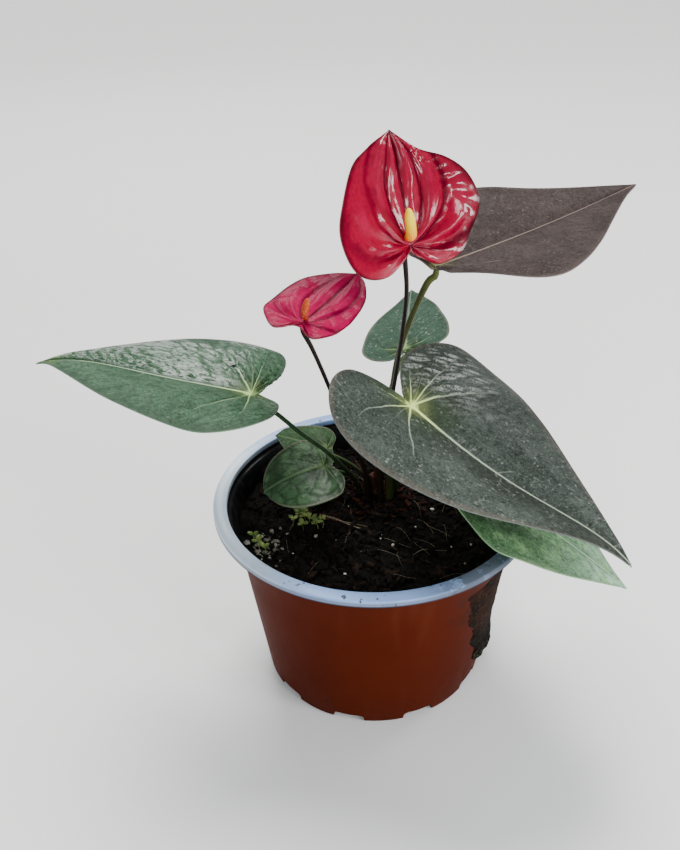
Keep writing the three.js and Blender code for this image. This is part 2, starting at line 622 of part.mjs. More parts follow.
// ---------------------------------------------------------------- the assembly
place("pot", potSolid(), 0x7a2f1a, 0.45);
place("soil", soilSolid(), 0x1a1613, 0.95);
place("crown", crownSolid(), 0x5a3c28, 0.85);
place("caked_soil", crustSolid(), 0x2a2518, 0.95);

for (const [name, leaf] of Object.entries(LEAVES)) {
  place(`petiole_${name}`, stalkSolid(leaf), leaf.stem, 0.5);
  place(`blade_${name}`, bladeSolid(leaf), leaf.blade, 0.45);
}

for (const [name, flower] of Object.entries(FLOWERS)) {
  place(`peduncle_${name}`, stalkSolid(flower), flower.stem, 0.5);
  place(`spathe_${name}`, bladeSolid(flower), flower.blade, 0.25);
  place(`spadix_${name}`, spadixSolid(flower), 0xe8a03a, 0.6);
}

export default group;
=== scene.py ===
import math

import bpy
import numpy as np
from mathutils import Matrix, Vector, noise


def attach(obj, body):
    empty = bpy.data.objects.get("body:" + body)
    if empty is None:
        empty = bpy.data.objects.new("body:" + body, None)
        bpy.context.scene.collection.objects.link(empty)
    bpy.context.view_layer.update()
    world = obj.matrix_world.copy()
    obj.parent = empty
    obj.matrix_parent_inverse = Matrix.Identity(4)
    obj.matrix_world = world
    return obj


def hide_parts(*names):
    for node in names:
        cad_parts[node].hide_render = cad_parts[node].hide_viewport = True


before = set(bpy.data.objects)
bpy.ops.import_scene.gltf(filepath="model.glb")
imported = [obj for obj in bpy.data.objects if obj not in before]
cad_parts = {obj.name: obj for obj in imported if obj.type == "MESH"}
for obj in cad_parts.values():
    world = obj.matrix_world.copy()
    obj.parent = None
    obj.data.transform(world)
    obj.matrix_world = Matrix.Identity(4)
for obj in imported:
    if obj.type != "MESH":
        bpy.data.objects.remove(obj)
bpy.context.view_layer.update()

# ---------------------------------------------------------------- the pot
# A thin pot drawn from two-tone sheet: terracotta outside and black inside, with a flat
# blue-grey rim turned down at its edge, a stacking ledge under it, and ten drain notches
# cut through the foot.
MM = 0.001
SEAM = 0.004  # points nearer than this are one


def let_go():
    """Back to object mode, with nothing selected."""
    if bpy.context.mode != "OBJECT":
        bpy.ops.object.mode_set(mode="OBJECT")
    bpy.ops.object.select_all(action="DESELECT")


def take(*pieces):
    """Selects these pieces alone and makes the first the active one."""
    let_go()
    for piece in pieces:
        piece.select_set(True)
    bpy.context.view_layer.objects.active = pieces[0]


def fresh(name):
    """Names the piece that an operator has just added."""
    piece = bpy.context.object
    piece.name = name
    piece.data.name = name
    return piece


def shape_with(piece, kind, **settings):
    """Puts a modifier on the piece and applies it."""
    take(piece)
    modifier = piece.modifiers.new(kind.lower(), kind)
    for name, value in settings.items():
        setattr(modifier, name, value)
    bpy.ops.object.modifier_apply(modifier=modifier.name)


def knit(piece, outward=True):
    """Closes seams and poles: doubles are merged, then the faces turned outwards."""
    take(piece)
    bpy.ops.object.mode_set(mode="EDIT")
    bpy.ops.mesh.select_all(action="SELECT")
    bpy.ops.mesh.remove_doubles(threshold=SEAM * MM)
    if outward:
        bpy.ops.mesh.normals_make_consistent(inside=False)
    let_go()


def settle(piece, finish, slot, *nodes, angle=40):
    """Gives a finished piece its surface, and its place in the frame."""
    take(piece)
    bpy.ops.object.shade_smooth_by_angle(angle=math.radians(angle))
    if not piece.data.materials:
        piece.data.materials.append(finish.material)
    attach(piece, "root")
    if nodes:
        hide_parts(*nodes)
    let_go()


class Wire:
    """One socket of a surface, on which Python's own arithmetic works."""

    def __init__(self, finish, socket):
        self.finish = finish
        self.socket = socket

    def __add__(self, other):
        return self.finish.maths("ADD", self, other)

    def __sub__(self, other):
        return self.finish.maths("SUBTRACT", self, other)

    def __rsub__(self, other):
        return self.finish.maths("SUBTRACT", other, self)

    def __mul__(self, other):
        return self.finish.maths("MULTIPLY", self, other)

    def __pow__(self, other):
        return self.finish.maths("POWER", self, other)

    __radd__ = __add__
    __rmul__ = __mul__


def give(socket, value):
    """Sets a socket's own value; a colour is given as red, green and blue."""
    if socket.type == "RGBA" and len(value) == 3:
        value = (*value, 1)
    socket.default_value = value


def tint(colour, share, added=0):
    """A lighter or darker form of a colour."""
    return tuple(min(1, share * part + added) for part in colour)


class Finish:
    """The surface of one kind of piece."""

    def __init__(self, name, **constants):
        self.material = bpy.data.materials.new(name)
        self.material.use_nodes = True
        self.tree = self.material.node_tree
        self.shader = self.tree.nodes["Principled BSDF"]
        for socket, value in constants.items():
            give(self.shader.inputs[socket.replace("_", " ")], value)
        self.place = self.node("ShaderNodeTexCoord", out="Object")

    def node(self, kind, settings=None, sockets=None, out=0):
        """Adds a node: its settings first, then the values or wires of its sockets."""
        node = self.tree.nodes.new(kind)
        for name, value in (settings or {}).items():
            setattr(node, name, value)
        for key, value in (sockets or {}).items():
            if isinstance(value, Wire):
                self.tree.links.new(value.socket, node.inputs[key])
            else:
                give(node.inputs[key], value)
        return Wire(self, node.outputs[out])

    def maths(self, operation, *values):
        """One step of arithmetic; Wire's operators come here too."""
        return self.node("ShaderNodeMath", {"operation": operation}, dict(enumerate(values)))

    def rise(self, value, low, high):
        """0 below low, 1 above high, and a smooth step between."""
        return self.node("ShaderNodeMapRange", {"interpolation_type": "SMOOTHSTEP"},
                         {"Value": value, "From Min": low, "From Max": high})

    def grain(self, scale, detail=3.0, rough=0.55, at=None):
        """Soft noise round 0.5, so many spots to the metre."""
        return self.node("ShaderNodeTexNoise", None, {"Vector": at or self.place, "Scale": scale,
                                                      "Detail": detail, "Roughness": rough}, "Fac")

    def streaks(self, scales, detail):
        """Noise that is drawn out along an axis, with its own scale for each axis."""
        drawn_out = self.node("ShaderNodeMapping", None, {"Vector": self.place, "Scale": scales})
        return self.grain(1.0, detail, at=drawn_out)

    def cells(self, scale, feature="F1", at=None):
        """Distance to the nearest of scattered points, or to the edge between two."""
        return self.node("ShaderNodeTexVoronoi", {"feature": feature},
                         {"Vector": at or self.place, "Scale": scale}, "Distance")

    def blend(self, mask, first, second):
        """The first colour where the mask is 0 and the second where it is 1."""
        return self.node("ShaderNodeMix", {"data_type": "RGBA"}, {0: mask, 6: first, 7: second}, 2)

    def axes(self):
        """The place in millimetres, as three wires."""
        split = self.node("ShaderNodeSeparateXYZ", None, {0: self.place}).socket.node
        return [Wire(self, split.outputs[i]) * 1000 for i in range(3)]

    def mark(self, name):
        """A number that the mesh carries at its points."""
        return self.node("ShaderNodeAttribute", {"attribute_name": name}, None, "Fac")

    def to(self, socket, wire):
        """Lets the wire drive a socket of the shader."""
        self.tree.links.new(wire.socket, self.shader.inputs[socket])

    def bumped(self, height, depth):
        """Raises the surface by height, 0 to 1, to a depth in millimetres."""
        return self.node("ShaderNodeBump", None,
                         {"Height": height, "Distance": depth * MM, "Strength": 1.0}, "Normal")


INNER_FOOT_R = 49.5   # where the inner wall would meet the ground
INNER_SLOPE = 0.1402  # how far it widens for each millimetre up


def terracotta(finish, cloud, splash, x, y, z):
    """The outside: red-brown plastic, splashed low down and stained beside the crust, with painted shade
    under the rim and on the right.
    """
    clay = finish.blend(cloud, (0.083, 0.0120, 0.0035), (0.052, 0.0064, 0.0022))
    pale_streaks = finish.rise(finish.streaks((95, 95, 9), 2), 0.55, 0.8)
    clay = finish.blend(pale_streaks * 0.14, clay, (0.15, 0.04, 0.018))
    # painted shade: a dark band just under the rim, where the rim's shade falls
    painted_shade_under_rim = finish.rise(z, 74, 83)
    clay = finish.blend(painted_shade_under_rim * 0.45, clay, (0.045, 0.008, 0.0035))
    clay = finish.blend(splash * 0.65, clay, (0.030, 0.016, 0.010))
    by_crust = finish.rise(x, 22, 44) * (1 - finish.rise(y, -30, -12)) * finish.rise(z, 26, 60)
    stain = finish.rise(finish.grain(170, 5, 0.7) + by_crust * 0.12, 0.56, 0.66) * by_crust
    clay = finish.blend(stain * 0.75, clay, (0.022, 0.012, 0.008))
    # painted shade: the right of the wall is darkened as if turned from the light
    right = finish.rise(x, 12, 48) * (1 - finish.rise(y, -40, 0))
    clay = finish.blend(right * 0.45, clay, (0.038, 0.0060, 0.0024))
    dots = (1 - finish.rise(finish.cells(75), 0.03, 0.075)) * finish.rise(finish.grain(60, 2), 0.48, 0.56)
    return finish.blend(dots * 0.6, clay, (0.020, 0.010, 0.006))


def rim_blue(finish, cloud, grime_and_leaf_shade, radius, x, y, z):
    """The rim: blue-grey, smeared and specked, with painted shadow patches and a painted highlight that makes
    the left pale; grime and painted shade of the main leaf darken the front right, and dirt the far right.
    """
    steel = finish.blend(cloud, (0.36, 0.56, 0.98), (0.23, 0.36, 0.66))
    smear = finish.rise(finish.grain(95, 5, 0.65), 0.50, 0.70)
    steel = finish.blend(smear * 0.5, steel, (0.48, 0.64, 0.92))
    shadow = finish.rise(finish.grain(38, 5, 0.7), 0.55, 0.75)
    steel = finish.blend(shadow * 0.6, steel, (0.10, 0.11, 0.13))
    specks = finish.rise(finish.grain(260, 2), 0.64, 0.68)
    steel = finish.blend(specks * 0.85, steel, (0.02, 0.017, 0.015))
    # painted highlight: the left of the rim is made pale and blue as if it caught the light
    left = (1 - finish.rise(x, -62, -18)) * (1 - finish.rise(y, 18, 48) * 0.5)
    steel = finish.blend(left * 0.95, steel, (0.76, 0.87, 1.0))
    # grime and painted shade: the front right is darkened where the main leaf shades it
    steel = finish.blend(grime_and_leaf_shade * 0.9, steel, (0.075, 0.080, 0.090))
    far_right = finish.rise(x, 58, 66) * finish.rise(finish.grain(160, 5, 0.7), 0.34, 0.52)
    steel = finish.blend(far_right * 0.85, steel, (0.014, 0.012, 0.012))
    turned_edge = finish.rise(radius, 69.2, 69.7) * (1 - finish.rise(z, 87.4, 88.4))
    return finish.blend(turned_edge * 0.75, steel, (0.11, 0.13, 0.18))


def pot_surface():
    """Terracotta, black or blue by where the point lies, with a scuffed moulded grain."""
    finish = Finish("pot_plastic", Specular_IOR_Level=0.015, Coat_Roughness=0.22)
    x, y, z = finish.axes()
    radius = (x * x + y * y) ** 0.5
    in_wall = 1 - finish.rise(radius - z * INNER_SLOPE, INNER_FOOT_R, INNER_FOOT_R + 0.2)
    in_collar = 1 - finish.rise(radius, 64.25, 64.35)
    inside = finish.blend(finish.rise(z, 78.0, 78.2), in_wall, in_collar)
    rim = finish.rise(z, 86.2, 86.5) * finish.rise(radius, 63.9, 64.2)
    lip = finish.rise(radius, 68.6, 68.7) * (1 - rim)
    cloud = finish.grain(28, 4)
    splash = finish.rise(finish.grain(150, 5, 0.7), 0.60, 0.70) * (1 - finish.rise(z, 4, 34))
    # grime and painted shade of the main leaf, on the front right of the rim
    front_right = finish.rise(x, 8, 38) * (1 - finish.rise(y, -20, 10))
    grime_and_leaf_shade = front_right * finish.rise(finish.grain(120, 5, 0.7), 0.30, 0.50)
    black = finish.blend(finish.rise(finish.grain(210, 5), 0.5, 0.75), (0.006, 0.006, 0.007),
                         (0.030, 0.025, 0.021))
    colour = finish.blend(inside, terracotta(finish, cloud, splash, x, y, z), black)
    colour = finish.blend(lip, colour, (0.055, 0.052, 0.070))
    colour = finish.blend(rim, colour, rim_blue(finish, cloud, grime_and_leaf_shade, radius, x, y, z))
    finish.to("Base Color", colour)
    fine = finish.grain(420, 3)
    scuffs = 1 - finish.rise(finish.cells(560), 0.02, 0.09)
    finish.to("Roughness", 0.42 + fine * 0.14 + splash * 0.3 - rim * 0.14)
    finish.to("Coat Weight", (rim * (1 - grime_and_leaf_shade) * 0.6 + inside * 0.4) * 0.7)
    finish.to("Normal", finish.bumped(fine * 0.4 + cloud * 2 + scuffs * 0.2, 0.08))
    return finish


# radius and height: up the outside, over the rim and the stacking ledge, down the inside
POT_PROFILE = [
    (49.3, 0), (50.0, 0.25), (50.3, 0.9), (52.99, 20), (55.8, 40), (58.6, 60), (60.95, 76.9),
    (61.15, 77.3), (61.75, 77.7), (62.3, 79.6), (63.6, 82.9), (64.9, 84.1), (65.35, 85.0),
    (65.6, 87.0), (68.2, 87.15), (68.6, 86.9), (68.7, 85.8), (68.95, 85.55), (69.6, 85.55),
    (69.95, 85.8), (70.0, 86.6), (69.95, 87.8), (69.6, 88.5), (68.9, 88.8), (66.5, 88.9),
    (64.7, 88.8), (64.25, 88.55), (64.1, 88.0), (63.95, 85.2), (63.7, 84.7), (62.6, 84.2),
    (62.2, 83.6), (60.05, 77.2), (57.4, 60), (54.6, 40), (51.8, 20), (49.3, 2.4), (48.6, 1.6),
]
NOTCHES = 10
NOTCH_FIRST = -103          # degrees
NOTCH_SIZE = (12, 14, 7.6)  # through the wall, along it and up; half of it is below ground
NOTCH_REACH = 51.5

let_go()
start_r, start_z = POT_PROFILE[0]
bpy.ops.mesh.primitive_circle_add(vertices=200, radius=start_r * MM, location=(0, 0, start_z * MM))
pot = fresh("pot_body")
bpy.ops.object.mode_set(mode="EDIT")
bpy.ops.mesh.select_all(action="SELECT")
for (r0, z0), (r1, z1) in zip(POT_PROFILE, POT_PROFILE[1:]):
    bpy.ops.mesh.extrude_region_move(TRANSFORM_OT_translate={"value": (0, 0, (z1 - z0) * MM)})
    bpy.ops.transform.resize(value=(r1 / r0, r1 / r0, 1), center_override=(0, 0, z1 * MM))
bpy.ops.mesh.select_all(action="SELECT")
bpy.ops.mesh.fill_holes(sides=0)
bpy.ops.mesh.normals_make_consistent(inside=False)
let_go()

cutters = []
for number in range(NOTCHES):
    turn = math.radians(NOTCH_FIRST + 360 / NOTCHES * number)
    reach = NOTCH_REACH * MM
    bpy.ops.mesh.primitive_cube_add(size=1, rotation=(0, 0, turn),
                                    location=(reach * math.cos(turn), reach * math.sin(turn), 0))
    cutter = fresh(f"notch_{number}")
    cutter.scale = [side * MM for side in NOTCH_SIZE]
    bpy.ops.object.transform_apply(location=True, rotation=True, scale=True)
    shape_with(cutter, "BEVEL", width=1.8 * MM, segments=3)
    cutters.append(cutter)
take(*cutters)
bpy.ops.object.join()
shape_with(pot, "BOOLEAN", operation="DIFFERENCE", solver="EXACT", object=cutters[0])
bpy.data.objects.remove(cutters[0])
settle(pot, pot_surface(), "pot", "pot", angle=32)

# ---------------------------------------------------------------- the soil
# Damp black potting mix of peat and bark fines, darker still with painted shade. Its top is
# crumbly, and it fills the pot to about 14 mm below the rim; the crumbs on it are copies of three lumps.
RNG = np.random.default_rng(17)
CROWN = np.array([1.0, 18.0])
SOIL_TOP = 75.0
SOIL_R = 59.6
SOIL_FLOOR_R = 48.7
SOIL_FLOOR_Z = 1.95


def soil_height(x, y):
    """The top of the mix: level with low clods, and heaped a little round the crown."""
    from_crown = np.hypot(x - CROWN[0], y - CROWN[1])
    mound = 2.2 * np.exp(-((from_crown / 22) ** 2))
    clods = 0.9 * np.sin(0.31 * x + 0.5) * np.cos(0.27 * y) + 0.6 * np.sin(0.53 * x + 0.41 * y + 1.3)
    return SOIL_TOP + mound + clods * np.minimum(1, from_crown / 16)


def rough(points, size, seed):
    """Seeded noise at each point, about -1 to 1, in lumps of the given size."""
    shift = Vector((seed * 7.1, seed * 3.7, seed * 1.9))
    return np.array([noise.noise(Vector(p) / size + shift) for p in points])


def shaped_grid(name, columns, rows, rule):
    """A grid whose points go where the rule puts them, in millimetres. The rule takes two
    arrays from 0 to 1 and gives the places and the numbers that the points carry."""
    let_go()
    bpy.ops.mesh.primitive_grid_add(x_subdivisions=columns, y_subdivisions=rows, size=2)
    piece = fresh(name)
    mesh = piece.data
    flat = np.empty(len(mesh.vertices) * 3)
    mesh.vertices.foreach_get("co", flat)
    flat = np.round((flat.reshape(-1, 3) + 1) / 2, 6)
    places, marks = rule(flat[:, 0], flat[:, 1])
    mesh.vertices.foreach_set("co", (places * MM).ravel())
    for mark, values in marks.items():
        mesh.attributes.new(mark, "FLOAT", "POINT").data.foreach_set("value", values)
    mesh.update()
    return piece


def soil_rule(a, b):
    """The grid's square drawn round, and roughened away from the pot's wall."""
    u, v = a * 2 - 1, b * 2 - 1
    x = SOIL_R * u * np.sqrt(1 - v * v / 2)
    y = SOIL_R * v * np.sqrt(1 - u * u / 2)
    z = soil_height(x, y)
    flat = np.stack([x, y, 0 * x], 1)
    edge = np.clip((SOIL_R - np.hypot(x, y)) / 4, 0, 1)
    z = z + edge * (0.9 * rough(flat, 5.0, 1) + 0.7 * rough(flat, 2.2, 2) + 0.35 * rough(flat, 1.0, 3))
    return np.stack([x, y, z], 1), {}


def soil_surface(name, dark, light):
    """Damp earth, lumpy and matt, with a few brown flecks."""
    finish = Finish(name, Specular_IOR_Level=0.08)
    lumps = finish.grain(330, 6, 0.65)
    bits = finish.cells(900)
    colour = finish.blend(finish.rise(lumps, 0.35, 0.75), dark, light)
    fleck = finish.rise(finish.grain(1300, 2), 0.68, 0.74)
    colour = finish.blend(fleck * 0.5, colour, (0.075, 0.052, 0.032))
    finish.to("Base Color", colour)
    finish.to("Roughness", 0.98 - lumps * 0.25)
    finish.to("Normal", finish.bumped(lumps + bits * 0.6, 0.5))
    return finish


soil = shaped_grid("soil_body", 230, 230, soil_rule)
take(soil)
bpy.ops.object.mode_set(mode="EDIT")
bpy.ops.mesh.select_mode(type="EDGE")
bpy.ops.mesh.select_all(action="SELECT")
bpy.ops.mesh.region_to_loop()
bpy.ops.mesh.extrude_region_move(TRANSFORM_OT_translate={"value": (0, 0, -20 * MM)})
shrink = SOIL_FLOOR_R / SOIL_R
bpy.ops.transform.resize(value=(shrink, shrink, 0), center_override=(0, 0, SOIL_FLOOR_Z * MM))
bpy.ops.mesh.edge_face_add()
let_go()
# painted shade: the mix's colours are darker than its own, for the shade it lies in under the leaves
damp_and_shaded_soil = soil_surface("damp_and_shaded_soil", (0.0016, 0.0013, 0.0011), (0.0070, 0.0052, 0.0036))
settle(soil, damp_and_shaded_soil, "soil", "soil", angle=60)


def lump(name, seed, squash):
    """One small lump, as a crumb or grain that copies are made of."""
    let_go()
    bpy.ops.mesh.primitive_uv_sphere_add(segments=8, ring_count=5, radius=1)
    piece = fresh(name)
    for vertex in piece.data.vertices:
        spread = 1 + 0.42 * noise.noise(vertex.co * 1.3 + Vector((seed, seed, seed)))
        vertex.co = Vector(vertex.co[i] * squash[i] * spread for i in range(3))
    shape_with(piece, "TRIANGULATE")
    return piece


def strewn(name, model, places, sizes, turns):
    """Copies of one model in a mesh of their own, each at its place, size and turn."""
    mesh = model.data
    base = np.empty(len(mesh.vertices) * 3)
    mesh.vertices.foreach_get("co", base)
    base = base.reshape(-1, 3)
    faces = np.array([list(face.vertices) for face in mesh.polygons])
    points, polygons = [], []
    for number, (place, size, turn) in enumerate(zip(places, sizes, turns)):
        ca, sa, cb, sb = math.cos(turn[0]), math.sin(turn[0]), math.cos(turn[1]), math.sin(turn[1])
        about_x = np.array([[1, 0, 0], [0, cb, -sb], [0, sb, cb]])
        about_z = np.array([[ca, -sa, 0], [sa, ca, 0], [0, 0, 1]])
        points.append((base * size) @ about_x.T @ about_z.T + place)
        polygons.append(faces + number * len(base))
    copy = bpy.data.meshes.new(name)
    copy.from_pydata(np.concatenate(points) * MM, [], np.concatenate(polygons).tolist())
    piece = bpy.data.objects.new(name, copy)
    bpy.context.scene.collection.objects.link(piece)
    bpy.data.objects.remove(model)
    return piece


def scatter(count, reach, raised):
    """Seeded places on the soil, out to a radius and raised by so many millimetres."""
    r = reach * np.sqrt(RNG.random(count))
    a = 2 * np.pi * RNG.random(count)
    x, y = r * np.cos(a), r * np.sin(a)
    return np.stack([x, y, soil_height(x, y) + raised], 1)


FULL_TURN = 6.28
# how many, the smallest and the largest, their squash and the colour of their paler parts
CRUMBS = [(1300, 0.45, 1.5, (1.0, 0.8, 0.65), (0.011, 0.008, 0.006)),
          (430, 1.0, 2.7, (1.2, 0.8, 0.6), (0.008, 0.006, 0.0045)),
          (170, 1.6, 3.4, (1.5, 0.55, 0.35), (0.026, 0.014, 0.008))]
for shape, (count, low, high, squash, light) in enumerate(CRUMBS):
    crumb = lump(f"crumb_{shape}", 3.3 * shape, squash)
    sizes = (low + (high - low) * RNG.random(count) ** 2.2)[:, None] * np.ones(3)
    turns = RNG.random((count, 2)) * [FULL_TURN, 3.1]
    crumbs = strewn(f"soil_crumbs_{shape}", crumb, scatter(count, 57.2, 0.35), sizes, turns)
    crumb_finish = soil_surface(f"crumb_soil_{shape}", (0.0028, 0.0023, 0.0020), light)
    settle(crumbs, crumb_finish, "soil", angle=50)

# ---------------------------------------------------------------- perlite, bark and fibres
# White grains of expanded perlite, paler crumbs at the front left, red-brown chips of old
# sheath round the crown and thin dead fibres lie loose on the mix. The larger grains are
# where they can be made out in the view.
SEEN_GRAINS = [(-54.4, -19.2, 1.4), (-25.1, -15.1, 0.9), (-7.4, 20.2, 0.8), (26.1, 4.9, 1.0),
               (-52, -16.5, 0.9), (-44, -28, 0.7), (8, -20, 0.8), (33, -20, 0.6),
               (-12, -38, 0.6), (18, -9, 0.6)]
SMALL_GRAINS = 22


def perlite_surface():
    """White and full of pores, with soil in most of them."""
    finish = Finish("perlite", Specular_IOR_Level=0.3)
    pores = finish.cells(1900)
    dirt = finish.rise(finish.grain(700, 4), 0.42, 0.62)
    finish.to("Base Color", finish.blend(dirt * 0.85, (0.52, 0.51, 0.46), (0.10, 0.085, 0.060)))
    finish.to("Roughness", 0.8 + pores * 0.2)
    finish.to("Normal", finish.bumped(pores, 0.25))
    return finish


def on_soil(x, y, raised):
    """The place above this point of the soil, raised by so many millimetres."""
    return (x, y, float(soil_height(x, y)) + raised)


def turned(count):
    """Seeded turns about two axes."""
    return RNG.random((count, 2)) * FULL_TURN


places = np.array([on_soil(x, y, 0.7) for x, y, _ in SEEN_GRAINS])
places = np.concatenate([places, scatter(SMALL_GRAINS, 56, 0.7)])
sizes = np.concatenate([[grain[2] for grain in SEEN_GRAINS], 0.25 + 0.35 * RNG.random(SMALL_GRAINS)])
grains = strewn("perlite_grains", lump("grain", 9.1, (1, 0.85, 0.8)), places,
                sizes[:, None] * np.ones(3), turned(len(places)))
settle(grains, perlite_surface(), "soil", angle=60)

HEAPS = {
    "pale_crumbs": dict(count=60, centre=(-46, -22), spread=(5, 5), sizes=(0.4, 1.3), seed=5.5,
                        squash=(1.1, 0.8, 0.7), dark=(0.060, 0.055, 0.042), light=(0.42, 0.41, 0.34)),
    "sheath_chips": dict(count=90, centre=CROWN - (0, 6), spread=(13, 9), sizes=(0.7, 2.6), seed=2.2,
                         squash=(1.6, 0.5, 0.22), dark=(0.012, 0.004, 0.003), light=(0.085, 0.026, 0.014)),
}
for name, heap in HEAPS.items():
    count = heap["count"]
    flat = heap["centre"] + RNG.normal(size=(count, 2)) * heap["spread"]
    places = np.array([on_soil(x, y, 0.6) for x, y in flat])
    low, high = heap["sizes"]
    sizes = (low + (high - low) * RNG.random(count) ** 2)[:, None] * np.ones(3)
    model = lump(f"{name}_model", heap["seed"], heap["squash"])
    bits = strewn(name, model, places, sizes, turned(count))
    settle(bits, soil_surface(f"{name}_soil", heap["dark"], heap["light"]), "soil", angle=50)


def through(points, t):
    """The smooth curve through the points, for t from 0 to 1."""
    p = np.array(points, float)
    last = len(p) - 1
    p = np.vstack([2 * p[0] - p[1], p, 2 * p[-1] - p[-2]])
    place = np.clip(t, 0, 1) * last
    i = np.minimum(place.astype(int), last - 1)
    f = (place - i)[:, None]
    before, here, there, after = p[i], p[i + 1], p[i + 2], p[i + 3]
    leave, arrive = (there - before) / 2, (after - here) / 2
    return ((2 * f ** 3 - 3 * f ** 2 + 1) * here + (f ** 3 - 2 * f ** 2 + f) * leave
            + (3 * f ** 2 - 2 * f ** 3) * there + (f ** 3 - f ** 2) * arrive)


def even(points, t):
    """The same curve, walked at an even pace."""
    fine = np.linspace(0, 1, 400)
    line = through(points, fine)
    way = np.concatenate([[0], np.cumsum(np.linalg.norm(np.diff(line, axis=0), axis=1))])
    return through(points, np.interp(np.clip(t, 0, 1) * way[-1], way, fine))


def round_bar(name, points, radius, rings, sides):
    """A bar along a curve. radius takes the way along and the way round, 0 to 1; the bar is
    closed by a point at each end."""
    def rule(a, b):
        steps = np.linspace(0, 1, rings + 1)
        line = even(points, np.clip((steps * rings - 1) / (rings - 2), 0, 1))
        ahead = np.gradient(even(points, steps), axis=0)
        ahead /= np.linalg.norm(ahead, axis=1)[:, None]
        side = np.zeros((rings + 1, 3))
        aside = np.cross(ahead[0], [0.31, 0.94, 0.12])
        for k in range(rings + 1):
            aside = aside - ahead[k] * (aside @ ahead[k])
            aside /= np.linalg.norm(aside)
            side[k] = aside
        k = np.round(b * rings).astype(int)
        other = np.cross(ahead[k], side[k])
        size = radius(np.clip((k - 1) / (rings - 2), 0, 1), a) * ((k > 0) & (k < rings))
        angle = 2 * np.pi * a
        spoke = np.cos(angle)[:, None] * side[k] + np.sin(angle)[:, None] * other
        places = line[k] + size[:, None] * spoke
        return places, {"way": np.clip((k - 1) / (rings - 2), 0, 1)}
    piece = shaped_grid(name, sides, rings, rule)
    knit(piece)
    return piece


def joined(name, pieces):
    """Makes one piece of many, under a name of its own."""
    take(*pieces)
    bpy.ops.object.join()
    pieces[0].name = name
    return pieces[0]


def dry_surface(name, light, dark):
    """Dead stalk and sheath: brown, with fine fibres."""
    finish = Finish(name, Specular_IOR_Level=0.3)
    fibre = finish.streaks((1600, 1600, 420), 4)
    finish.to("Base Color", finish.blend(finish.rise(fibre, 0.3, 0.7), dark, light))
    finish.to("Roughness", 0.75 + fibre * 0.2)
    finish.to("Normal", finish.bumped(fibre, 0.2))
    return finish


# start, end and radius: first the twig that can be made out, then fibres
SEEN_FIBRES = [((-24.1, 0.5), (-1.7, -12.3), 0.42), ((-21, -2), (-3, -9), 0.20),
               ((4, -14), (16, -22), 0.12), ((-6, -24), (12, -30), 0.12),
               ((16, -26), (31, -24), 0.14), ((22, -4), (34, -16), 0.12)]
STRAYS = 22
STRAY_LENGTH = 11

starts = zip(RNG.uniform(-38, 34, STRAYS), RNG.uniform(-42, 34, STRAYS),
             RNG.uniform(0, FULL_TURN, STRAYS))
strays = [((x, y), (x + STRAY_LENGTH * math.cos(turn), y + STRAY_LENGTH * math.sin(turn)), 0.09)
          for x, y, turn in starts]
fibres = []
for number, (start, end, thick) in enumerate(SEEN_FIBRES + strays):
    start, end = np.array(start), np.array(end)
    bent = 0.03 if thick > 0.15 else 0.14
    across = np.array([start[1] - end[1], end[0] - start[0]]) * RNG.uniform(-bent, bent)
    path = [on_soil(*(start + (end - start) * part + across * bow), raised)
            for part, bow, raised in ((0, 0, 0.6), (0.3, 1, 1.5), (0.65, 0.8, 1.6), (1, 0, 0.7))]
    fibres.append(round_bar(f"fibre_{number}", path,
                            lambda t, a, thick=thick: thick * (1 - 0.5 * t),
                            rings=22, sides=6))
dead_fibre = dry_surface("dead_fibre", (0.23, 0.19, 0.12), (0.050, 0.034, 0.022))
settle(joined("dead_fibres", fibres), dead_fibre, "soil")

# ---------------------------------------------------------------- the seedlings
# A clump of tiny yellow-green seedlings has come up at the front left: each is a thread
# of stem with three round leaves.
SPROUTS = [(-30, -4.6), (-34.8, 1.2), (-24.4, -10.2), (-28, -8), (-33, -3), (-26.5, -5), (-30.5, 2),
           (-36, -6), (-22.5, -7), (-31, -10.5), (-49, -22), (-46, -25), (-50.5, -17.5)]
LEAVES_TO_A_SPROUT = 3


def sprout_leaf(name, base, heading, size):
    """A small cupped round leaf that leaves the top of the stem a little upwards."""
    heading = np.array([math.cos(heading), math.sin(heading), 0.3])
    sidewise = np.array([-heading[1], heading[0], 0])

    def rule(a, b):
        wide = np.sin(np.pi * np.clip(b, 0, 1)) ** 0.65 * size * 0.42
        across = (a * 2 - 1) * wide
        cup = 0.22 * size * (a * 2 - 1) ** 2
        places = (base + (b * size)[:, None] * heading + across[:, None] * sidewise
                  + cup[:, None] * np.array([0, 0, 1.0]))
        return places, {}

    leaf = shaped_grid(name, 6, 7, rule)
    knit(leaf, outward=False)
    shape_with(leaf, "SOLIDIFY", thickness=0.12 * MM, offset=-1)
    return leaf


sprigs = []
for number, (x, y) in enumerate(SPROUTS):
    foot = np.array([x, y, float(soil_height(x, y))])
    top = foot + [RNG.uniform(-1.2, 1.2), RNG.uniform(-1.2, 1.2), RNG.uniform(2.6, 5.2)]
    sprigs.append(round_bar(f"sprout_{number}", [foot, (foot + top) / 2 + [0.3, 0, 0], top],
                            lambda t, a: 0.16 + 0 * t, rings=8, sides=5))
    heading = RNG.uniform(0, FULL_TURN)
    for k in range(LEAVES_TO_A_SPROUT):
        sprigs.append(sprout_leaf(f"sprout_leaf_{number}_{k}", top, heading, RNG.uniform(1.8, 3.2)))
        heading += 2.1


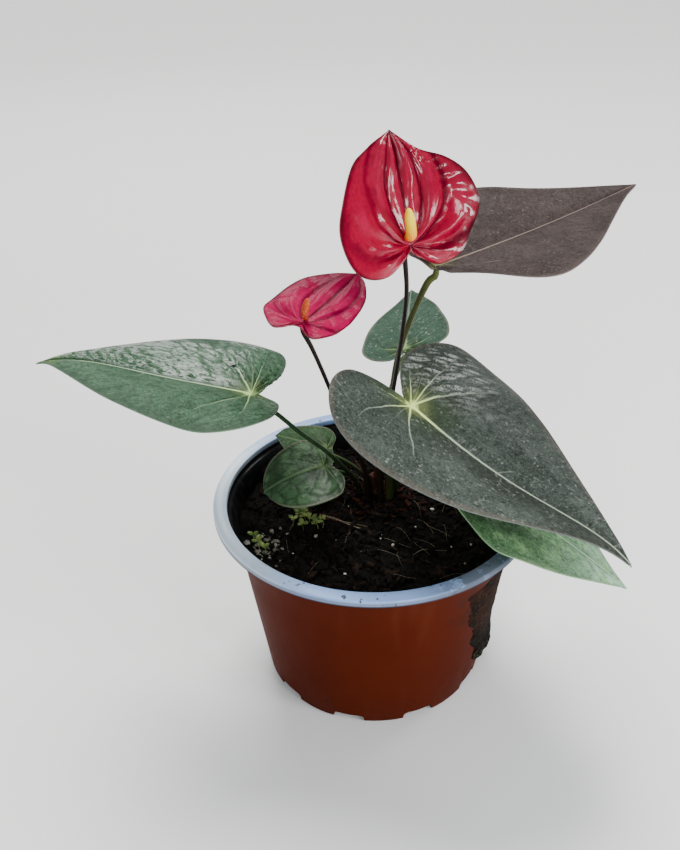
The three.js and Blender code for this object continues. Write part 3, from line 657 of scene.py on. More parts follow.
def sprout_surface():
    """Green, turning to yellow in patches."""
    finish = Finish("sprout_green", Specular_IOR_Level=0.4, Roughness=0.45)
    yellow = finish.rise(finish.grain(240, 3), 0.35, 0.65)
    finish.to("Base Color", finish.blend(yellow, (0.060, 0.110, 0.016), (0.21, 0.27, 0.070)))
    finish.to("Normal", finish.bumped(finish.grain(1500, 2), 0.1))
    return finish


settle(joined("seedlings", sprigs), sprout_surface(), "soil")

# ---------------------------------------------------------------- the crown
# The short woody stem in the middle, ringed with old scars, and the dry papery sheaths
# that once wrapped the young leaves.
FOOT_Z = 64.0
SHEATH_Z = 12.5  # above the foot of the stem
# height above the foot, and radius: a scar at each narrow place
CROWN_RINGS = [(0, 4.2), (9, 4.3), (12, 4.5), (13.4, 4.0), (14.6, 4.3), (16, 3.7), (17.3, 4.0),
               (19.2, 3.1), (20.4, 3.3), (22, 2.2), (23.4, 0.7)]


def crown_rule(a, b):
    """A stem turned from its rings, and furrowed a little round about."""
    heights, radii = np.array(CROWN_RINGS).T
    z = FOOT_Z + heights[-1] * b
    size = np.interp(heights[-1] * b, heights, radii) * (b > 0) * (b < 1)
    angle = 2 * np.pi * a
    size = size * (1 + 0.05 * np.cos(7 * angle + 9 * b) + 0.03 * np.cos(13 * angle - 20 * b))
    return np.stack([CROWN[0] + size * np.cos(angle), CROWN[1] + size * np.sin(angle), z], 1), {}


crown = shaped_grid("crown_stem", 36, 60, crown_rule)
knit(crown)
brown = dry_surface("dry_sheath", (0.085, 0.030, 0.018), (0.022, 0.008, 0.006))
settle(crown, brown, "crown", "crown")

# direction in degrees, height, how far it leans out, and half its width
SHEATHS = [(252, 17, 9.0, 2.4), (184, 18, 7.5, 2.2), (58, 14, 7.0, 2.0), (228, 12, 10.5, 1.8),
           (300, 9, 6.0, 1.6), (205, 22, 6.0, 1.7), (270, 24, 5.0, 1.5)]
sheaths = []
for number, (degrees, height, lean, wide) in enumerate(SHEATHS):
    turn = math.radians(degrees)
    out = np.array([math.cos(turn), math.sin(turn), 0])
    round_about = np.array([-out[1], out[0], 0])
    foot = np.array([*CROWN, FOOT_Z + SHEATH_Z]) + out * 2.4

    def sheath_rule(a, b):
        span = (a * 2 - 1)
        width = wide * np.maximum(1 - b, 0) ** 0.55 * (1 + 0.12 * np.sin(14 * b + degrees))
        places = (foot + (lean * b ** 1.6 + 1.1 * (1 - span ** 2) * (1 - b))[:, None] * out
                  + (span * width)[:, None] * round_about + (height * b)[:, None] * np.array([0, 0, 1.0]))
        return places + 0.25 * rough(places, 1.5, degrees)[:, None] * out, {}

    sheath = shaped_grid(f"sheath_{number}", 10, 24, sheath_rule)
    knit(sheath, outward=False)
    shape_with(sheath, "SOLIDIFY", thickness=0.22 * MM, offset=0)
    sheaths.append(sheath)
settle(joined("crown_sheaths", sheaths), brown, "crown")

# ---------------------------------------------------------------- the leaves
# Leathery heart-shaped blades, each on a round stalk with a swollen knee under it. A
# blade lies on a bent and folded sheet, and its side veins run from the junction and the
# midrib to the margin, sunk a little into puckered flesh.

# left and right give the margin from the sinus to the tip, along the midrib and across it;
# stalk gives the place of its foot and then its way up. bend, fold and cup curve the whole
# blade, sway and swerve carry the midrib aside, steadily or in a swing near the tip, and
# bulge, rib and wave raise the flesh between the veins, the midrib and the margin. crinkle
# is the depth of the quilting on the left and the right half, and pillow its size.
LEAVES = {
    "main": dict(
        at=[14.4, -20.4, 144.9], heading=-33.1, pitch=-28.5, roll=-6.6,
        length=101.8, bend=13.5, fold=21, cup=-7.8, sway=-0.5, swerve=6,
        veins=5, bulge=1.1, rib=0.5, wave=0.7, waves=3,
        left=[[-9.3, 5], [-17, 16.4], [-16.1, 31.9], [-7.6, 49.4], [6.2, 56.6], [23.2, 55.6], [41.2, 43],
              [65.1, 23.3], [86.1, 8.3]],
        right=[[-13.4, -1.6], [-24.1, -14.8], [-24.8, -32.2], [-15.4, -45.9], [0.4, -51.5], [21, -50.3],
              [40, -43.3], [59, -31.2], [83, -14.4]],
        stalk=[[7.0, 12.0], [7.2, 10.6, 92], [7.6, 4.2, 112], [8.6, -4.0, 129], [10.9, -11.8, 139]],
        radii=[2.0, 1.45, 1.9], crinkle=(0.46, 0.34)),
    "left": dict(
        at=[-49.6, -7.7, 142.9], heading=167.2, pitch=5.6, roll=7.0,
        length=93.2, bend=-6.7, fold=17, cup=-8.0, sway=0.6, swerve=-6.5,
        veins=5, bulge=1.1, rib=0.5, wave=1.0, waves=3,
        left=[[-7, 0.8], [-14, 7.2], [-15.7, 24.2], [-10.2, 37.7], [1.2, 43.9], [14.5, 44.9],
              [32.3, 41.8], [52.7, 33.5], [75.6, 19.1]],
        right=[[-4.9, -8.2], [-7.4, -17.7], [-5.5, -30.5], [3, -43.1], [15.9, -50.7], [31.7, -39.5],
              [52.4, -25.5], [74, -11.9], [85, -5.5]],
        stalk=[[-6.7, 14.4], [-8.0, 13.0, 85], [-12.5, 8.6, 95], [-20.4, 1.8, 109.2], [-31.2, -1.5, 121],
               [-41.5, -5, 133.5]],
        radii=[1.6, 0.95, 1.3], crinkle=(0.16, 0.98)),
    "upper": dict(
        at=[24.1, 8.2, 191.0], heading=41.1, pitch=-0.5, roll=2.1,
        length=128, bend=6.2, fold=17, cup=-2.8, sway=0, veins=5, bulge=1.1, rib=0.5, wave=1.1, waves=3,
        left=[[-3, 6], [-5, 15], [-4, 28], [6, 40], [24, 45], [42, 42], [60, 34.5], [78, 25], [104, 12]],
        right=[[-2, -5], [-4, -12], [-2, -25], [6, -40], [18, -49], [33, -48], [53, -39], [80, -24],
               [108, -9]],
        stalk=[[8.0, 22.9], [8.2, 21.5, 95], [7.3, 17.0, 118], [9.2, 14.0, 144], [14.0, 10.8, 165],
               [20.6, 8.5, 183.5]],
        radii=[1.9, 1.25, 1.5], crinkle=(0.34, 0.22)),
    "back": dict(
        at=[14.6, 61.0, 127.8], heading=85.7, pitch=2.0, roll=-17.2,
        length=65, bend=-1.6, fold=9, cup=-1, sway=0, veins=4, bulge=0.8, rib=0.4, wave=0.5, waves=3,
        left=[[-6, 2], [-9, 8], [-7, 16], [0, 20.5], [10, 21], [22, 19], [37, 13.5], [51, 6.5]],
        right=[[-6, -3], [-8, -10], [-6, -18], [0, -22], [10, -22], [22, -19], [37, -14.5], [51, -7.5]],
        stalk=[[2.5, 26.4], [2.8, 29.0, 90], [4.6, 36.0, 103], [8.6, 48.0, 116], [13.4, 58.2, 123.4]],
        radii=[1.7, 1.2, 1.4], crinkle=(0.16, 0.16)),
    "lower": dict(
        at=[39.1, -21.1, 111.4], heading=-21.8, pitch=-22.7, roll=-9.7,
        length=77, bend=-10.2, fold=5, cup=-3.2, sway=0, veins=5, bulge=0.9, rib=0.4, wave=0.5, waves=3,
        left=[[-7, 4], [-13, 13], [-11, 26], [0, 35], [13, 37], [28, 33.5], [45, 24], [60, 12.5], [69, 5.2]],
        right=[[-7, -5], [-10, -14], [-4, -23.3], [7, -31.2], [20.5, -38.5], [33, -34], [48, -25], [63, -13]],
        stalk=[[9.5, 17.3], [11.2, 15.6, 88], [18.2, 7.6, 101], [28.0, -7.0, 107.6], [36.6, -17.2, 107]],
        radii=[1.8, 1.2, 1.4], crinkle=(0.24, 0.24)),
    "small_front": dict(
        at=[-21.4, -2.0, 104.7], heading=201.6, pitch=-0.7, roll=-13.1,
        length=28.5, bend=-35, fold=0, cup=-0.6, sway=0, veins=3, bulge=0.5, rib=0.3, wave=0.4, waves=2,
        left=[[-4, 3], [-6, 9], [-3, 16], [3, 19], [11, 19], [19, 15.5], [25, 9]],
        right=[[-3, -3], [-4, -8], [-1, -14], [5, -17], [14, -16], [21, -13], [26, -7]],
        stalk=[[-7.3, 19.8], [-9.0, 18.2, 84], [-13.4, 13.0, 90], [-18.8, 4.6, 97.5]],
        radii=[1.4, 0.9, 1.1], crinkle=(0.45, 0.45), pillow=6.5),
    "small_back": dict(
        at=[-21.6, 27.0, 94.8], heading=181.4, pitch=14.2, roll=-3.9,
        length=24, bend=6, fold=0, cup=-1.0, sway=0, veins=3, bulge=0.5, rib=0.3, wave=0.4, waves=2,
        left=[[-3, 3], [-4, 8], [-1, 13], [5, 15], [12, 13.5], [19, 8]],
        right=[[-3, -3], [-4, -9], [-1, -14], [6, -15], [13, -12.5], [20, -7]],
        stalk=[[-3.9, 25.0], [-6.6, 25.4, 82.5], [-12.0, 26.4, 86.5], [-18.4, 27.0, 90]],
        radii=[1.4, 0.9, 1.1], crinkle=(0.2, 0.2)),
}


def blade_axes(blade):
    """Along the midrib, to the left, and out of the upper face, at the junction."""
    h, p, r = (math.radians(blade[k]) for k in ("heading", "pitch", "roll"))
    along = np.array([math.cos(p) * math.cos(h), math.cos(p) * math.sin(h), math.sin(p)])
    level = np.array([-math.sin(h), math.cos(h), 0])
    up = np.cross(along, level)
    return along, level * math.cos(r) + up * math.sin(r), up * math.cos(r) - level * math.sin(r)


def blade_flat(blade, row, out, left):
    """Where a point lies on the blade laid flat, in millimetres."""
    margins = [through([[-2.5, 0], *blade[side], [blade["length"], 0]], row) for side in ("left", "right")]
    reach = (margins[0][:, 0] + margins[1][:, 0]) / 2 - 0.375 * (margins[0][:, 1] - margins[1][:, 1])
    foot = np.where(row > 0.9999, blade["length"], np.maximum(0, reach))
    edge = np.where(left[:, None], margins[0], margins[1])
    s = foot + (edge[:, 0] - foot) * out ** 1.15
    return s, edge[:, 1] * out


def pillows(flat, size, seed):
    """Rounded pillows between the sunken veins of a net, 0 to 1."""
    shift = Vector((seed * 5.3, seed * 2.9, 0.5))
    near = [noise.voronoi(Vector(p) / size + shift)[0] for p in flat]
    gap = np.array([distances[1] - distances[0] for distances in near])
    return np.clip(gap * 1.7, 0, 1) ** 0.6


VEIN_BOW = 0.06  # how far side veins bow to the tip, as a share of the margin


def leaf_relief(blade, seed):
    """Sunken side veins and, between them, quilted flesh: more of it on one half."""
    def relief(s, w, out, vein):
        flat = np.stack([s, w, 0 * s], 1)
        along_veins = np.stack([s - 0.8 * abs(w), 0.36 * w, 0 * s], 1)
        groove = 0.32 * np.exp(-(vein / 0.8) ** 2) * np.clip(out * 6, 0, 1) * (1 - out ** 4)
        crinkle = np.where(w > 0, blade["crinkle"][0], blade["crinkle"][1])
        round_size = blade.get("pillow")
        large = pillows(flat, round_size, seed) if round_size else pillows(along_veins, 3.0, seed)
        quilt = large + 0.5 * pillows(flat, 2.3, seed + 1)
        swell = 0.25 * rough(flat, 11, seed + 2)
        free = np.clip(abs(w) / 3, 0, 1) * np.clip((np.hypot(s, w) - 3) / 10, 0.2, 1) * (1 - out ** 8)
        return (crinkle * (quilt - 0.8) + swell) * free - groove, 1 - large * free
    return relief


SWERVE_SHAPE = 12.2  # makes the swing, x ** 4 * (1 - x), one millimetre at its widest


def blade_rule(blade, relief):
    """The rule that lays a grid on the blade: across it in one way, and from the sinus to the
    tip in the other. The points carry where they are on the blade, for its colours."""
    along, across, normal = blade_axes(blade)
    length, veins = blade["length"], blade["veins"]
    turn = math.radians(blade["bend"]) / length
    fold = math.radians(blade["fold"])

    def to_vein(s, w, row, out, left, shift):
        """Distance to the nearest side vein, or with a shift to the finer ones between."""
        wander = 0.014 * rough(np.stack([s, w, 0 * s], 1), 8, 3) * np.clip(out * 4, 0, 1)
        bow = VEIN_BOW * out ** 2 + wander
        nearest = (np.round((row - bow) * veins - shift) + shift) / veins + bow
        vein_s, vein_w = blade_flat(blade, np.clip(nearest, 0, 1), out, left)
        return np.hypot(s - vein_s, w - vein_w)

    def swell(s, w, row, out):
        """The large forms over the flat blade: fold, cup, humps, ruffled margin and midrib."""
        between = np.sin(np.pi * veins * (row - VEIN_BOW * out ** 2)) ** 2
        hump = blade["bulge"] * between * np.sin(np.pi * np.minimum(1, out * 1.15)) ** 1.2
        phase = np.where(w > 0, 0.6, 2.2)
        waves = np.sin(2 * np.pi * blade["waves"] * row + phase)
        ruffle = blade["wave"] * out ** 3 * np.sin(np.pi * row) * waves
        midrib = blade["rib"] * np.exp(-(w / 0.9) ** 2) * np.clip(s / 2, 0, 1) * (1 - 0.6 * s / length)
        return abs(w) * math.sin(fold) + blade["cup"] * (w / 40) ** 2 + hump + ruffle + midrib

    def rule(a, b):
        out, left, row = abs(a * 2 - 1), a < 0.5, b
        s, w = blade_flat(blade, row, out, left)
        vein, fine_vein = (to_vein(s, w, row, out, left, shift) for shift in (0, 0.5))
        x = s / length
        swerve = blade.get("swerve", 0) * SWERVE_SHAPE * np.maximum(x, 0) ** 4 * (1 - x)
        sideways = w + blade["sway"] * x ** 2 + swerve
        raised, crease = relief(s, w, out, vein)
        lift = swell(s, w, row, out) + raised
        angle = turn * s
        local = np.cos(angle)[:, None] * normal - np.sin(angle)[:, None] * along
        places = (np.array(blade["at"]) + (np.sin(angle) / turn)[:, None] * along
                  + ((1 - np.cos(angle)) / turn)[:, None] * normal
                  + (sideways * math.cos(fold))[:, None] * across + lift[:, None] * local)
        return places, {"out": out, "vein": vein, "fine": fine_vein, "rib": abs(w), "along": s,
                        "side": w, "crease": crease}
    return rule


BLADE_THICK = 0.55
STALK_END = 0.35  # how far behind the blade's face its stalk ends
STALK_TURN = 3.7  # and how far behind it the stalk turns to the blade
STALK_SIDES = 16


def lay_blade(name, blade, grid, relief, top, under):
    """One blade or spathe: the upper face by its rule, then its thickness."""
    rows, columns = grid
    piece = shaped_grid(name, columns * 2, rows, blade_rule(blade, relief))
    knit(piece, outward=False)
    piece.data.materials.append(top.material)
    piece.data.materials.append(under.material)
    shape_with(piece, "SOLIDIFY", thickness=BLADE_THICK * MM, offset=-1,
               material_offset=1, material_offset_rim=1)
    return piece


def grow_stalk(name, blade, rings):
    """The stalk from its hole in the soil up to the back of its blade."""
    normal = blade_axes(blade)[2]
    (x, y), *rest = blade["stalk"]
    junction = np.array(blade["at"])
    path = [[x, y, SOIL_TOP - 9], [x, y, SOIL_TOP + 3], *rest,
            junction - normal * STALK_TURN, junction - normal * STALK_END]
    foot, middle, knee = blade["radii"]

    def radius(t, a):
        taper = foot + (middle - foot) * np.minimum(1, t / 0.35)
        swell = (knee - middle) * np.clip((t - 0.85) / 0.13, 0, 1)
        return (taper + swell) * (1 + 0.02 * np.cos(2 * np.pi * a * 3 + 9 * t))
    return round_bar(name, path, radius, rings, STALK_SIDES)


class LeafFinish(Finish):
    """The upper face of a leaf, whose noises lie on the blade as if it were laid flat."""

    def __init__(self, name, look):
        super().__init__(name, Specular_IOR_Level=look["gloss"], Coat_Roughness=look["crisp"])
        self.look = look
        self.out, self.along, self.side, self.rib = (self.mark(m) for m in ("out", "along", "side", "rib"))
        self.flat = self.node("ShaderNodeCombineXYZ", None, {0: self.along * MM, 1: self.side * MM})
        self.patch = self.grain(45, 4, 0.6, self.flat)
        self.mottle = self.grain(330, 5, 0.7, self.flat)
        self.grit = self.grain(1100, 3, 0.6, self.flat)
        self.net = self.cells(420, "DISTANCE_TO_EDGE", self.flat)

    def flesh(self):
        """Green to bronze between the veins: patched and mottled, with painted shade in the creases and by
        the midrib, and a painted sheen on the ridges.
        """
        look, along, side = self.look, self.along, self.side
        crease = self.mark("crease")
        colour = self.blend(self.rise(self.patch, 0.3, 0.7), look["deep"], look["pale"])
        # tip: the left leaf's own yellowish tip; on the lower leaf the pale tip is painted light
        if "tip" in look:
            share, start, end, tip_colour = look["tip"]
            colour = self.blend(self.rise(along, start, end) * share, colour, tip_colour)
        if "patches" in look:
            share, patchy = look["patches"]
            pale_patch = self.rise(self.grain(130, 5, 0.6, self.flat), 0.50, 0.64)
            colour = self.blend(pale_patch * share, colour, patchy)
        colour = self.blend(self.rise(self.mottle, 0.46, 0.66) * look["mottling"], colour, look["blotch"])
        colour = self.blend(self.rise(self.grit, 0.5, 0.8) * 0.3, colour, look["vein"])
        # painted shade in the creases of the quilting
        colour = self.blend(self.rise(crease, 0.35, 0.95) * look["painted_crease_shade"], colour, look["blotch"])
        half = look["sheen"][0]
        # painted shade: the half that does not shine is darkened near the midrib, as if in shade
        by_rib = 1 - self.rise(self.rib + (self.patch - 0.5) * 20, 8, 30)
        by_rib = self.rise(side * -half, 0, 2) * by_rib
        colour = self.blend(by_rib * self.rise(along, -4, 14) * look["painted_shade_by_rib"], colour, look["blotch"])
        # painted highlight: the ridges of the shining half are made pale and silvery as if they caught the
        # light
        if "painted_sheen" in look:
            share, fades, ends, sheen_colour = look["painted_sheen"]
            ridge = (1 - self.rise(crease, 0.2, 0.7)) * self.rise(side * half, 2, 20)
            ridge = ridge * (1 - self.rise(along, fades, ends))
            ridge = ridge * self.rise(along, look["calm"], look["calm"] + 14)
            sheen_breakup = self.rise(self.grit + self.mottle, 0.8, 1.15)
            colour = self.blend(ridge * sheen_breakup * share, colour, sheen_colour)
        web = (1 - self.rise(self.net, 0.02, 0.12)) * look["web"]
        return self.blend(web, colour, look["vein"])

    def star(self, colour):
        """The dark and the green round the junction, under the pale star of the veins."""
        from_star = (self.along * self.along + self.rib * self.rib) ** 0.5
        dark = 1 - self.rise(from_star + (self.patch - 0.5) * 16, 9, 27)
        colour = self.blend(dark * self.look["dark_star"], colour, (0.026, 0.045, 0.015))
        green = (1 - self.rise(from_star + (self.mottle - 0.5) * 6, 3, 11)) * 0.45
        return self.blend(green, colour, tint(self.look["star"], 0.28)), from_star

    def veins(self, colour, from_star):
        """Midrib and side veins, finer to the margin, that turn to the star's colour."""
        look, along, out = self.look, self.along, self.out
        near, near_fine = self.mark("vein"), self.mark("fine")
        wide = (0.58 - out * 0.36) * look["lines"]
        from_foot = 1 - self.rise(along, 12, 40) * 0.65
        side_vein = (1 - self.rise(near, wide * 0.4, wide)) * (1 - self.rise(out, 0.30, 0.92)) * 0.8
        side_vein = side_vein * from_foot
        thin_vein = (1 - self.rise(near_fine, 0.1, 0.35)) * (1 - self.rise(out, 0.2, 0.9)) * 0.16
        thick = (0.95 - self.rise(along, 0, 70) * 0.5) * look["lines"]
        midrib = (1 - self.rise(self.rib, thick * 0.4, thick)) * self.rise(along, -1, 1)
        drawn = self.maths("MAXIMUM", self.maths("MAXIMUM", side_vein, midrib), thin_vein)
        glow = 1 - self.rise(from_star, 3.0, 20.0)
        colour = self.blend(drawn, colour, self.blend(glow, look["vein"], look["star"]))
        halo = 1 - self.rise(from_star + (self.mottle - 0.5) * 5, 1.0, 3.8)
        colour = self.blend(halo * 0.8, colour, look["star"])
        margin = self.rise(out + (self.patch - 0.5) * 0.1, 0.93, 1.0)
        return self.blend(margin * 0.35, colour, look["margin"])

    def film(self):
        """Pale specks, and a powder of dust that lies in drifts."""
        flat = self.flat
        speck = 1 - self.rise(self.cells(430, at=flat), 0.06, 0.34)
        speck = speck * self.rise(self.grain(230, 2, 0.5, flat), 0.52, 0.64) * 0.60
        drifts = self.rise(self.grain(60, 3, 0.5, flat), 0.35, 0.65)
        powder = self.rise(self.grain(self.look["flecks"], 4, 0.75, flat), 0.54, 0.68) * drifts
        return self.maths("MAXIMUM", speck, powder * 0.6) * self.look["dust"]

    def sound(self):
        """0 on the one dark blemish and 1 elsewhere."""
        if "blemish" not in self.look:
            return 1
        s, w, size = self.look["blemish"]
        gap = ((self.along - s) ** 2 + (self.side - w) ** 2) ** 0.5 + (self.grit - 0.5) * 1.2
        return self.rise(gap, size * 0.6, size)

    def coat(self, film, sound):
        """The glossy half: the coat begins at the calm place and wanes to the tip."""
        half, weight = self.look["sheen"]
        calm, wanes = self.look["calm"], self.look["wanes"]
        glossy = self.rise(self.side * half, 0, 3) * self.rise(self.along, calm, calm + 14)
        glossy = glossy * (1 - self.rise(self.along, wanes, wanes + 26) * 0.75)
        return glossy * weight * (1 - film) * sound


def leaf_surface(name, look):
    """The upper face of one leaf, from its flesh up to the dust on it."""
    finish = LeafFinish(name, look)
    colour, from_star = finish.star(finish.flesh())
    colour = finish.veins(colour, from_star)
    film, sound = finish.film(), finish.sound()
    colour = finish.blend(film, colour, (0.44, 0.47, 0.42))
    if "blemish" in look:
        colour = finish.blend(sound, (0.003, 0.005, 0.004), colour)
    finish.to("Base Color", colour)
    finish.to("Roughness", look["shine"] + film * 0.3 + finish.mottle * 0.08)
    if look["sheen"][1] > 0:
        finish.to("Coat Weight", finish.coat(film, sound))
    finish.to("Normal", finish.bumped(finish.mottle * 0.5 + finish.net * 1.2 + finish.grit * 0.3, 0.30))
    return finish


def under_surface(name, colour, vein):
    """The dull back of a blade or spathe, with its veins raised."""
    finish = Finish(name, Specular_IOR_Level=0.4, Roughness=0.6)
    out, near, rib = (finish.mark(m) for m in ("out", "vein", "rib"))
    wide = 1.0 - out * 0.7
    lines = finish.maths("MAXIMUM", 1 - finish.rise(near, wide * 0.4, wide), 1 - finish.rise(rib, 0.5, 1.3))
    mottle = finish.grain(300, 4)
    shade = finish.blend(mottle, colour, tint(colour, 0.7))
    finish.to("Base Color", finish.blend(lines * 0.8, shade, vein))
    finish.to("Normal", finish.bumped(lines + mottle * 0.3, 0.3))
    return finish


def stalk_surface(name, low, high, knee, blade, reach=11):
    """A stalk's colour turns up its length, and its knee is the colour of the veins."""
    finish = Finish(name, Specular_IOR_Level=0.15)
    centre = tuple(v * MM for v in blade["at"])
    to_blade = finish.node("ShaderNodeVectorMath", {"operation": "DISTANCE"},
                           {0: finish.place, 1: centre}, "Value") * 1000
    z = finish.axes()[2]
    fibre = finish.streaks((1500, 1500, 160), 4)
    span = blade["at"][2] - 76
    colour = finish.blend(finish.rise(z, 78, 78 + span * 0.7), low, high)
    colour = finish.blend(finish.rise(fibre, 0.45, 0.75) * 0.4, colour, tint(high, 1.9))
    colour = finish.blend(1 - finish.rise(to_blade, reach * 0.25, reach), colour, knee)
    finish.to("Base Color", colour)
    finish.to("Roughness", 0.34 + fibre * 0.2)
    finish.to("Normal", finish.bumped(fibre, 0.12))
    return finish


# What a leaf has unless its own looks say otherwise. sheen is the half that shines, 1 the
# left and -1 the right, and how much; it begins at calm and wanes along the midrib. The silvery
# sheen and tip have a share, a stretch of the midrib and a colour, and blemish a place and a size;
# the silvery sheen is a painted highlight on the ridges, the lower leaf's pale tip is painted light,
# and the shade in the creases and by the midrib is painted shade.
PLAIN_LEAF = dict(margin=(0.30, 0.27, 0.20), lines=1.0, gloss=0.1, sheen=(1, 0), calm=-40, wanes=400,
                  crisp=0.30, painted_crease_shade=0.3, web=0.05, mottling=0.55, flecks=760, dark_star=0, painted_shade_by_rib=0)
LEAF_LOOKS = {
    "main": dict(deep=(0.027, 0.038, 0.032), pale=(0.060, 0.077, 0.068), vein=(0.36, 0.42, 0.32),
                 star=(0.74, 0.90, 0.30), blotch=(0.014, 0.018, 0.013), margin=(0.15, 0.11, 0.09),
                 dust=0.60, flecks=430, shine=0.46, lines=1.15, sheen=(1, 0.38), wanes=16,
                 mottling=0.75, dark_star=0.60, painted_shade_by_rib=0.75, painted_sheen=(1.0, -2, 26, (0.42, 0.44, 0.41))),
    "left": dict(deep=(0.028, 0.086, 0.042), pale=(0.056, 0.130, 0.070), vein=(0.36, 0.48, 0.30),
                 star=(0.52, 0.74, 0.28), blotch=(0.016, 0.050, 0.023), margin=(0.050, 0.090, 0.050),
                 dust=0.30, shine=0.36, lines=0.8, gloss=0.07, sheen=(-1, 0.52), calm=2, crisp=0.17,
                 mottling=0.8, painted_crease_shade=0.95, dark_star=0.2, painted_sheen=(0.3, 40, 80, (0.30, 0.38, 0.31)),
                 tip=(0.9, 78, 93, (0.20, 0.30, 0.05)), blemish=(13.5, -17.5, 1.5)),
    "upper": dict(deep=(0.036, 0.025, 0.024), pale=(0.064, 0.047, 0.045), vein=(0.24, 0.18, 0.15),
                  star=(0.20, 0.20, 0.09), blotch=(0.018, 0.012, 0.012), margin=(0.12, 0.09, 0.08),
                  dust=0.30, shine=0.50, lines=0.8, gloss=0.06, sheen=(1, 0.10)),
    "back": dict(deep=(0.022, 0.058, 0.034), pale=(0.042, 0.094, 0.060), vein=(0.13, 0.22, 0.14),
                 star=(0.24, 0.36, 0.13), blotch=(0.013, 0.034, 0.020), dust=0.85, flecks=430,
                 shine=0.5, gloss=0.08),
    "lower": dict(deep=(0.036, 0.110, 0.036), pale=(0.110, 0.235, 0.100), vein=(0.34, 0.50, 0.32),
                  star=(0.50, 0.62, 0.25), blotch=(0.018, 0.062, 0.020), margin=(0.24, 0.34, 0.20),
                  dust=0.85, shine=0.45, lines=0.7, web=0.15, mottling=0.75,
                  # the lower leaf's pale tip is painted light, for the light that falls on it
                  tip=(0.6, 34, 82, (0.50, 0.74, 0.58)), patches=(0.7, (0.22, 0.42, 0.17))),
    "small_front": dict(deep=(0.034, 0.082, 0.036), pale=(0.070, 0.130, 0.062),
                        vein=(0.060, 0.115, 0.055), star=(0.075, 0.13, 0.050),
                        blotch=(0.008, 0.024, 0.008), dust=0.12, shine=0.42, painted_crease_shade=0.75,
                        sheen=(1, 0.12)),
    "small_back": dict(deep=(0.026, 0.066, 0.028), pale=(0.052, 0.105, 0.044),
                       vein=(0.075, 0.135, 0.058), star=(0.090, 0.15, 0.055),
                       blotch=(0.014, 0.038, 0.014), dust=0.12, shine=0.45, painted_crease_shade=0.5),
}
# at the foot, higher up, and at the knee under the blade
STALK_LOOKS = {
    "main": ((0.030, 0.040, 0.012), (0.050, 0.072, 0.018), (0.40, 0.52, 0.12)),
    "left": ((0.022, 0.030, 0.010), (0.018, 0.048, 0.016), (0.08, 0.16, 0.05)),
    "upper": ((0.024, 0.023, 0.009), (0.040, 0.048, 0.012), (0.085, 0.10, 0.026)),
    "back": ((0.035, 0.045, 0.015), (0.050, 0.090, 0.028), (0.22, 0.32, 0.10)),
    "lower": ((0.035, 0.045, 0.015), (0.050, 0.090, 0.028), (0.24, 0.34, 0.12)),
    "small_front": ((0.035, 0.035, 0.014), (0.036, 0.064, 0.022), (0.08, 0.14, 0.05)),
    "small_back": ((0.035, 0.035, 0.014), (0.036, 0.064, 0.022), (0.08, 0.14, 0.05)),
}
# faces along each blade and across each half of it
GRIDS = {"main": (200, 60), "left": (180, 54), "upper": (200, 54), "back": (120, 34), "lower": (140, 42),
         "small_front": (72, 26), "small_back": (72, 24)}

for number, (name, leaf) in enumerate(LEAVES.items()):
    look = PLAIN_LEAF | LEAF_LOOKS[name]
    top = leaf_surface(f"leaf_{name}", look)
    under = under_surface(f"leaf_back_{name}", tint(look["pale"], 1.5, 0.02), tint(look["vein"], 0.8))
    relief = leaf_relief(leaf, number * 5 + 2)
    leaf_blade = lay_blade(f"leaf_blade_{name}", leaf, GRIDS[name], relief, top, under)
    settle(leaf_blade, top, f"blade_{name}", f"blade_{name}", angle=60)
    leaf_stalk = grow_stalk(f"leaf_stalk_{name}", leaf, rings=70)
    stalk_skin = stalk_surface(f"stalk_{name}", *STALK_LOOKS[name], leaf)
    settle(leaf_stalk, stalk_skin, f"petiole_{name}", f"petiole_{name}")

# ---------------------------------------------------------------- the flowers
# Each is a glossy, deeply puckered crimson spathe on a thin dark stalk, with a finger of
# packed florets, the spadix, standing off its face: orange at its foot, pale at its tip.

